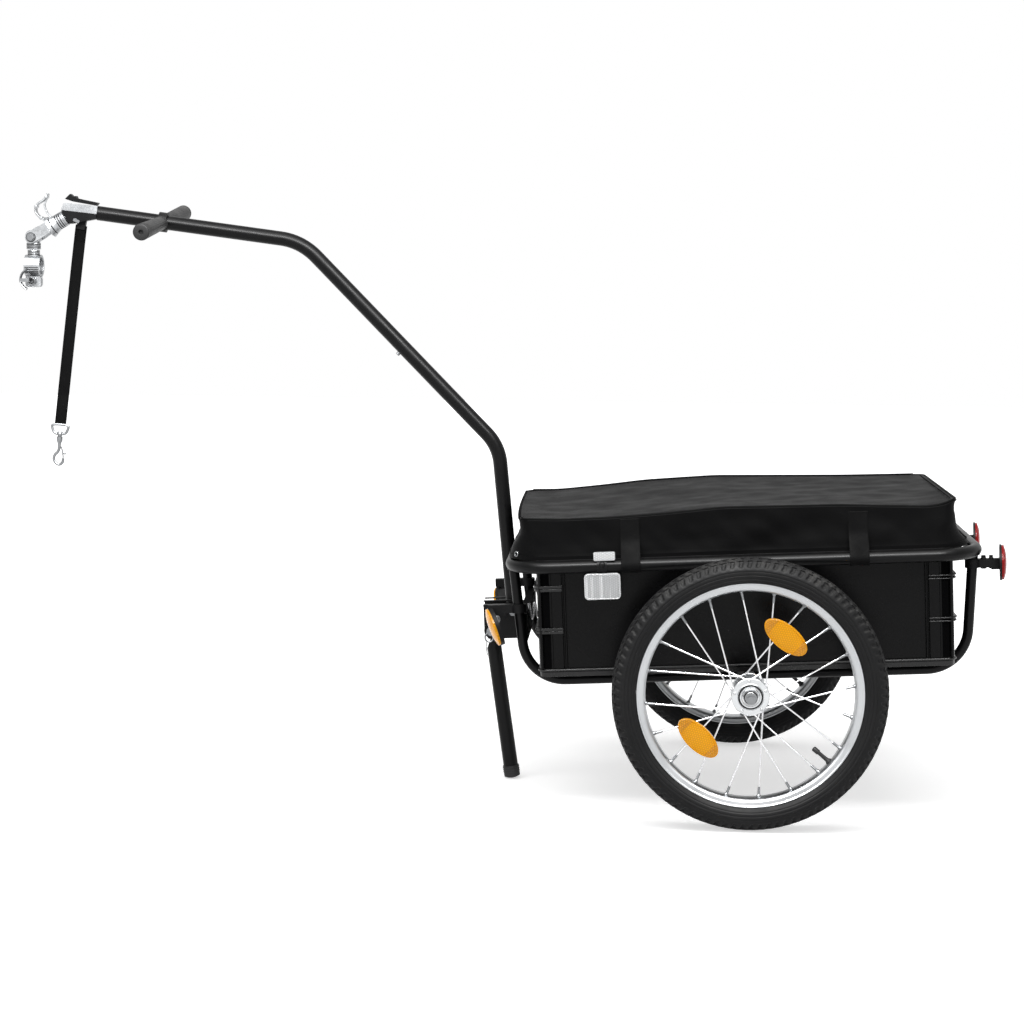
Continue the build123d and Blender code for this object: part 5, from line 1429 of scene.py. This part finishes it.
# Each side's reach out of the upright, its drop and its outward turn.
LENS_ARMS = {
    "rear": ((32.0, 0.0, 7.0), (32.0, 0.0, -7.0)),
    "front": ((24.4, 25.3, 13.0), (28.4, 33.0, 15.0)),
}
HOOP_RADIUS, LENS_DOME = 7.6, ((0.75, 5.2), (0.55, 6.3), (0.35, 6.9), (0.16, 7.2))
SIDE_LENS_X, SIDE_LENS_Y, SIDE_LENS_Z = -205.0, 227.5, 150.0
# The upright screws of the rear brackets: their height, then their places and radii.
CLAMP_HEIGHT, CLAMP_SCREWS = 155.5, ((352.5, 4.4), (363.5, 3.6))
# Dark bands across a side reflector: their places and half widths.
BAND_PLACES = ((-18.5, 1.2), (-9.0, 4.6), (1.2, 0.9), (6.6, 3.4), (17.5, 5.6))


class TRAILER_OT_reflectors(bpy.types.Operator):
    """Moulds the round reflectors on the uprights and the pale ones on the ring."""

    bl_idname = "trailer.reflectors"
    bl_label = "Frame reflectors"

    def execute(self, context):
        for place, end, height, radius, back, tilt, slot in LENSES:
            parts, flat = [], []
            edge = radius - 1
            profile = [(edge, 0), (edge, 2.6), (edge - 0.7, 3.4), (edge - 1.9, 3.5), (edge - 2.4, 2.9)]
            profile += [(edge - 2.9, 3.6), *((edge * share, high) for share, high in LENS_DOME), (0.1, 7.3)]
            hoop = HOOP_FOOT + (HOOP_TOP - HOOP_FOOT) * height / RING_Z + HOOP_RADIUS
            for (_, sign), (arm, drop, turn) in zip(SIDES, LENS_ARMS[place]):
                origin = Vector((end * (hoop + arm), sign * HOOP_Y, height - drop))
                level = (end * cos(radians(turn)), sign * sin(radians(turn)), 0)
                facing = Vector(level) * cos(radians(tilt)) - Vector(UP) * sin(radians(tilt))
                matrix = axes_of(origin + facing * (back + 0.1), facing, ACROSS)
                lens = lathe(profile, matrix, 64)
                parts.append(lens)
                to_lens = matrix.inverted()
                flat.extend((to_lens @ Vector(p))[:2] for p in lens[0])
            make(f"{place}_lenses", parts, slot, replaces=(f"{place}_reflectors",), flat=flat)
        dress(["rear_brackets", "front_brackets", "side_reflector_clips"], "black_plastic", 0.8)
        self.side_lenses()
        return {"FINISHED"}

    def side_lenses(self):
        """The pale side reflectors: a body with upright bars, and a tab over the ring."""
        parts, bands, knobs = [], [], []
        knob = [(0.1, -5.0), (4.6, -4.6), (5.2, -2.0), (5.2, 2.0), (4.2, 4.2), (2.6, 5.2), (0.1, 5.4)]
        for _, sign in SIDES:
            matrix = axes_of((SIDE_LENS_X, sign * SIDE_LENS_Y, SIDE_LENS_Z), (0, sign, 0), (-sign, 0, 0))
            parts.append(plate(rounded(52.5, 38, 6), 7.6, shifted(matrix, 0, 0, -5.2)))
            edge = laid(rounded(50.1, 35.6, 5), matrix, -1.4)
            parts.append(rod(edge, 1.2, 8, closed=True, up=(0, sign, 0)))
            for i in range(11):
                bar = laid([(4.3 * i - 21.5, y) for y in (-15.4, -15, -5, 5, 15, 15.4)], matrix, -1.5)
                ridge = [(0.0, 2.0), (1.1, 0.0), (0.0, -2.0), (-0.4, 0.0)]
                parts.append(sweep(bar, ridge, up=(0, sign, 0)))
            for x, wide in BAND_PLACES:
                bands.append(plate(oblong(wide, 15.6), 0.8, shifted(matrix, -sign * x, 0, -0.6)))
            knobs.append(lathe(knob, shifted(matrix, -sign * 0.5, 31.0, -4.0), 28))
            tab = shifted(matrix, -sign * 4.0, 43.75, -4.6)
            parts.append(plate(rounded(31, 12.5, 2), 4.6, tab))
            parts.append(plate(rounded(27, 8.6, 1.4), 0.9, shifted(tab, 0, 0, 2.5)))
        for _, sign in SIDES:
            for along, radius in CLAMP_SCREWS:
                turn = axes_of((along, sign * HOOP_Y, CLAMP_HEIGHT), UP)
                screw = [(0.1, -8.6), (radius - 1, -8.4), (radius, -7.4), (radius, 7.2), (radius - 1, 8.2)]
                knobs.append(lathe([*screw, (0.1, 8.4)], turn, 24))
                knobs.append(hexagon(radius * 0.8, 8.2, 11.2, turn))
        make("side_bands", bands, "clear_lens", look="clear_bands", flat="side")
        make("reflector_knobs", knobs, "black_plastic")
        make("side_lenses", parts, "clear_lens", replaces=("side_reflectors",), bevel=0.7, flat="side")


# ------------------------------------------------------------------ coupler and hitch

BARREL_START, BARREL_DROP = (-1011.06, 716.03), 28.0
HITCH_POINT = ahead(BARREL_START, -BARREL_DROP, 61.0)
BARREL_LINE = upright(ahead((0, 0), -BARREL_DROP, 1.0))
HANG = Vector((-0.05, 0, -0.99875))
FORWARD = Vector((HANG.z, 0, -HANG.x))
POST_DROP, BOLT_DROP, EAR_DROP = 44.0, 66.6, 68.0
CAM_Y, LEVER_Y = -7.2, -23.3


def below_hitch(drop, reach=0.0, y=0.0):
    """A point that hangs below the hitch pin when parked, and ahead of it by a reach."""
    return upright(HITCH_POINT, y) + HANG * drop + FORWARD * reach


def pin_seat(sign, y):
    """A matrix on the hitch pin's line at a place on one side, its Z outwards."""
    return axes_of(upright(HITCH_POINT, sign * y), (0, sign, 0))


def hexagon(radius, low, high, matrix):
    """A nut or bolt head with its corners eased."""
    sizes = ((radius * 0.93, low), (radius, low + 0.5), (radius, high - 0.6), (radius * 0.9, high))
    return loft([laid(circle(size, 6), matrix, height) for size, height in sizes])


def grooved(lows, outer, inner, ease, wide):
    """The profile of square grooves in a drum."""
    profile = []
    for low in lows:
        profile += [(outer, low), (inner, low + ease), (inner, low + wide - ease), (outer, low + wide)]
    return profile


class TRAILER_OT_hitch(bpy.types.Operator):
    """Finishes the coupler and builds the hitch head, down to its seat post clamp."""

    bl_idname = "trailer.hitch"
    bl_label = "Coupler and hitch"

    def execute(self, context):
        dress(["coupler_sleeve"], "hitch_alloy", 0.8)
        dress(["tether_anchor"], "black_plastic", 0.5)
        dress(["coupler_boot", "coupler_latch"], "black_plastic", 0.8)
        tag = axes_of((-994.0, -12.2, 709.4), (0, -1, 0), round_axle(1.0, -25))
        make("anchor_tag", [plate(rounded(10.0, 4.6, 1.4), 1.6, tag)], "zinc_steel", bevel=0.3)
        barrel = axes_of(upright(BARREL_START), BARREL_LINE, ACROSS)
        hang = axes_of(upright(HITCH_POINT), HANG, ACROSS)
        cam = axes_of(below_hitch(BOLT_DROP, y=CAM_Y), (0, -1, 0))
        head, knuckle, clamp = "hitch_head", "hitch_knuckle", "seat_clamp"
        # Black rings in the knuckle drum's grooves paint the shade there.
        drum = [washer(10.2, 10.9, h, h + 0.55, hang, 44) for h in (10.8, 13.5, 16.2)]
        for name, shapes, slot, body, look, replaced, bevel in (
            ("barrel_shell", self.barrel(barrel), "hitch_alloy", head, None, ["hitch_barrel"], 0.4),
            ("guard_hook", self.guard(), "hitch_alloy", head, None, ["hitch_guard"], 0.4),
            ("hitch_bolt", self.bolt(), "zinc_steel", head, None, ["hitch_pin"], 0.0),
            ("knuckle_shell", self.knuckle(hang), "hitch_alloy", knuckle, None, ["hitch_knuckle"], 0.0),
            ("clamp_band", self.clamp(hang), "hitch_alloy", clamp, None, ["seat_post_clamp"], 0.4),
            ("clamp_screw", self.screw(), "zinc_steel", clamp, None, ["clamp_bolt"], 0.0),
            ("lever_arm", self.lever(cam), "hitch_alloy", clamp, "zinc_steel", ["clamp_lever"], 0.4),
            # The last three are black rings and lines that paint the shade in grooves, at steps and in
            # gaps.
            ("hitch_shade_rings", self.head_shade_rings(barrel), "black_plastic", head, None, [], 0.0),
            ("knuckle_shade_rings", drum, "black_plastic", knuckle, None, [], 0.0),
            ("clamp_shade_rings", self.clamp_shade_rings(hang, cam), "black_plastic", clamp, None, [], 0.0),
        ):
            make(name, shapes, slot, body, look, replaced, bevel)
        return {"FINISHED"}

    def barrel(self, matrix):
        """The ringed barrel, its bell and the two ears round the knuckle."""
        profile = [(5.6, 1.5), (10.8, 1.5), (12.2, 2.6)]
        profile += grooved([4.4 + 3.4 * i for i in range(4)], 12.2, 11.2, 0.4, 1.6)
        profile += [(12.2, 18.0), (13.3, 21.2), (14.4, 24.2), (13.6, 24.7), (13.8, 25.5), (15.0, 26.0)]
        profile += [(16.6, 29.6), (17.0, 30.4), (17.0, 31.2), (16.2, 32.0), (5.6, 32.0)]
        outline = [*ellipse(9, 9, range(-90, 91, 10)), (-14.0, 9.0), (-20.0, 8.2), (-30.5, 8.2)]
        outline += [(-30.5, -8.2), (-20.0, -8.2), (-14.0, -9.0)]
        parts = [lathe(profile, matrix, 60, closed=True)]
        for _, sign in SIDES:
            ear = axes_of(upright(HITCH_POINT, sign * 14.5), ACROSS, BARREL_LINE)
            parts.append(plate(outline, 4.0, ear, holes=[circle(4.3, 28)]))
            boss = [(4.4, 0), (7.6, 0), (7.3, 0.9), (4.6, 0.9)]
            parts.append(lathe(boss, pin_seat(sign, 16.3), 36, closed=True))
        return parts

    def guard(self):
        """The hooked guard over the barrel, with a raised spine and its rivets."""
        route = [(-1046.5, 713.6), (-1053.0, 717.6), (-1058.0, 724.0), (-1058.6, 731.0)]
        route += [(-1054.5, 737.6), (-1047.5, 741.8), (-1041.6, 746.6), (-1038.2, 752.6)]
        path = side_run(route, 5)
        band = [(4.6, -1.7), (6.0, -0.9), (6.0, 0.6), (4.6, 1.5), (1.4, 1.6), (1.0, 2.0)]
        web = [(-1034.0, 715.6), (-1040.0, 721.6), (-1043.6, 729.0)]
        web += [(-1044.6, 736.6), (-1041.6, 743.0), (-1038.6, 748.0)]
        rivet = [(2.6, -6.4), (2.6, -5.9), (1.9, 6.0), (2.6, 6.0), (2.4, 6.6), (0.1, 6.8)]
        rivets = [lathe(rivet, axes_of(path[index], (0, -1, 0)), 18) for index in (3, 17, 31)]
        web = sweep(side_run(web, 5), oblong(3.0, 1.0), up=ACROSS)
        return [sweep(path, both_ways(band), up=ACROSS), web, *rivets]

    def bolt(self):
        """The hitch pin: a shank, a six-sided head and a nut on a washer."""
        shank = [(0.1, -19.8), (3.4, -19.8), (4.0, -19.2), (4.0, 19.2), (3.4, 19.8), (0.1, 19.8)]
        parts = [lathe(shank, axes_of(upright(HITCH_POINT), ACROSS), 28)]
        for _, sign in SIDES:
            seat = pin_seat(sign, 17.2)
            parts += [washer(4.2, 6.5, 0, 0.8, seat), hexagon(5.9, 0.8, 3.3, seat)]
        return parts

    def knuckle(self, hang):
        """The knuckle: a cross barrel for the pin and a ringed drum below it."""
        half = [(10.3, 2.7), (11.0, 3.2), (11.0, 9.6), (9.6, 11.0), (4.4, 11.0)]
        profile = [*((r, -h) for r, h in reversed(half)), *half]
        drum = [(5.4, 8.5), (10.6, 8.5), (10.9, 9.4)]
        drum += grooved([10.2 + 2.7 * i for i in range(3)], 11.0, 10.1, 0.4, 1.4)
        drum += [(11.0, 18.0), (10.2, 18.9), (5.4, 18.9)]
        cross = axes_of(upright(HITCH_POINT), ACROSS, HANG)
        return [lathe(profile, cross, 48, closed=True), lathe(drum, hang, 48, closed=True)]

    def clamp(self, hang):
        """The seat post clamp: a ringed neck, a split band and its two ears."""
        neck = [(0.1, 8.2), (4.6, 8.2), (5.0, 8.8), (5.0, 19.6), (9.2, 19.6), (9.5, 20.1)]
        neck += [*grooved((21.0, 23.6, 26.0), 9.5, 8.6, 0.3, 1.2), (9.5, 29.0), (0.1, 29.2)]
        middle = below_hitch(POST_DROP)
        turned = ellipse(15.5, 15.5, range(6, 355, 6))
        path = [middle + HANG * x + Vector(ACROSS) * y for x, y in turned]
        band = [(12.0, -1.7), (12.0, 1.3), (11.2, 2.1), (9.0, 2.1), (8.4, 1.2), (5.4, 1.2), (4.8, 2.0)]
        parts = [lathe(neck, hang, 48), sweep(path, both_ways([*band, (2.6, 2.0), (2.0, 1.2)]), up=FORWARD)]
        hole = [(x, y + EAR_DROP - BOLT_DROP) for x, y in circle(3.4, 24)]
        for _, sign in SIDES:
            ear = axes_of(below_hitch(EAR_DROP, y=sign * 4.25), ACROSS, FORWARD)
            parts.append(plate(rounded(24.0, 17.0, 4.5), 5.3, ear, holes=[hole]))
        return parts

    def screw(self):
        """The clamp's cross bolt and its six-sided nut."""
        line = axes_of(below_hitch(BOLT_DROP), ACROSS)
        shank = [(0.1, -12.0), (2.6, -12.0), (3.0, -11.4), (3.0, 11.6), (2.6, 12.0), (0.1, 12.0)]
        return [lathe(shank, line, 24), washer(3.1, 5.6, 7.1, 7.8, line, 32), hexagon(5.4, 7.8, 11.0, line)]

    def lever(self, cam):
        """The quick-release lever: a cam hub and a curved arm with a thickened tip."""
        profile = [(3.2, 0.0), (6.0, 0.0), (6.0, 2.0), (5.3, 2.4), (5.3, 3.4), (6.0, 3.8), (6.0, 9.8)]
        profile += [(5.0, 10.9), (3.6, 11.0), (3.4, 9.6), (3.2, 9.6)]
        route = [(50.0, 6.5), (54.5, 11.6), (61.0, 14.6), (68.0, 14.6), (75.0, 11.0), (79.5, 5.5)]
        path = through([below_hitch(d, r, LEVER_Y) for d, r in route], 6)
        last = len(path) - 1
        rings = []
        for i, point in enumerate(path):
            along = (path[min(i + 1, last)] - path[max(i - 1, 0)]).normalized()
            out = along.cross(Vector(ACROSS)) * (1.5 + 0.6 * (2 * i / last - 1) ** 2)
            rings.append([point + Vector(ACROSS) * 4.9 * c + out * d for c, d in circle(1.0, 16)])
        root = [below_hitch(BOLT_DROP - 1.0, r, LEVER_Y) for r in (1.0, 6.0, 11.0, 16.0)]
        arm = sweep(root, oblong(4.6, 2.6), up=ACROSS)
        return [lathe(profile, cam, 40, closed=True), loft(rings), arm]

    def head_shade_rings(self, barrel):
        """Black rings that paint the shade in the barrel's grooves, at its bell and under the pin's
        washers.
        """
        rings = [washer(11.25, 12.0, low, low + 0.6, barrel, 48) for low in (18.4, 15.0, 11.6, 8.2)]
        rings.append(washer(12.6, 14.1, 24.85, 25.45, barrel, 48))
        return rings + [washer(6.3, 7.5, 0, 0.35, pin_seat(sign, 17.15)) for _, sign in SIDES]

    def clamp_shade_rings(self, hang, cam):
        """Black rings round the clamp's neck and cam, and lines beside its split, that paint the shade in
        its grooves and gap.
        """
        parts = [washer(8.7, 9.3, h, h + 0.6, hang, 40) for h in (21.3, 23.9, 26.3)]
        for _, sign in SIDES:
            for turn in (52, 62, 72, 82):
                out = HANG * cos(radians(turn)) + Vector((0, sign, 0)) * sin(radians(turn))
                run = [below_hitch(POST_DROP) + out * 17.3 + FORWARD * k for k in (-10.5, 0.0, 10.5)]
                parts.append(sweep(run, oblong(0.5, 0.5), up=out))
        parts.append(washer(5.4, 5.9, 2.6, 3.2, cam))
        parts.append(lathe([(3.6, 10.2), (5.0, 10.2), (4.8, 11.3), (3.8, 11.3)], cam, 36, closed=True))
        return parts


# ------------------------------------------------------------------ panel and start

OPERATORS = (
    TRAILER_OT_stage,
    TRAILER_OT_tether,
    TRAILER_OT_cover,
    TRAILER_OT_tyres,
    TRAILER_OT_wheels,
    TRAILER_OT_frame,
    TRAILER_OT_box,
    TRAILER_OT_drawbar,
    TRAILER_OT_handle,
    TRAILER_OT_stand,
    TRAILER_OT_reflectors,
    TRAILER_OT_hitch,
)


class TRAILER_PT_panel(bpy.types.Panel):
    """Lists the trailer's pieces, sizes and colours."""

    bl_idname = "TRAILER_PT_panel"
    bl_label = "Cargo trailer"
    bl_space_type = "VIEW_3D"
    bl_region_type = "UI"
    bl_category = "Trailer"

    def draw(self, context):
        for operator in OPERATORS:
            self.layout.operator(operator.bl_idname)
        for name in ("trailer_sizes", "trailer_colours", "trailer_stage"):
            box = self.layout.box()
            facts = getattr(context.scene, name)
            for key in facts.bl_rna.properties.keys():
                if key not in ("rna_type", "name"):
                    box.prop(facts, key)


GROUPS = (
    ("trailer_sizes", TrailerSizes),
    ("trailer_colours", TrailerColours),
    ("trailer_stage", TrailerStage),
)


def register():
    """Makes the properties, operators and panel known."""
    for name, group in GROUPS:
        bpy.utils.register_class(group)
        setattr(bpy.types.Scene, name, bpy.props.PointerProperty(type=group))
    for operator in OPERATORS:
        bpy.utils.register_class(operator)
    bpy.utils.register_class(TRAILER_PT_panel)


def unregister():
    """Takes the panel, operators and properties away."""
    bpy.utils.unregister_class(TRAILER_PT_panel)
    for operator in reversed(OPERATORS):
        bpy.utils.unregister_class(operator)
    for name, group in reversed(GROUPS):
        delattr(bpy.types.Scene, name)
        bpy.utils.unregister_class(group)


def main():
    """Runs every step in order."""
    register()
    for operator in OPERATORS:
        family, step = operator.bl_idname.split(".")
        getattr(getattr(bpy.ops, family), step)()


if __name__ == "__main__":
    main()
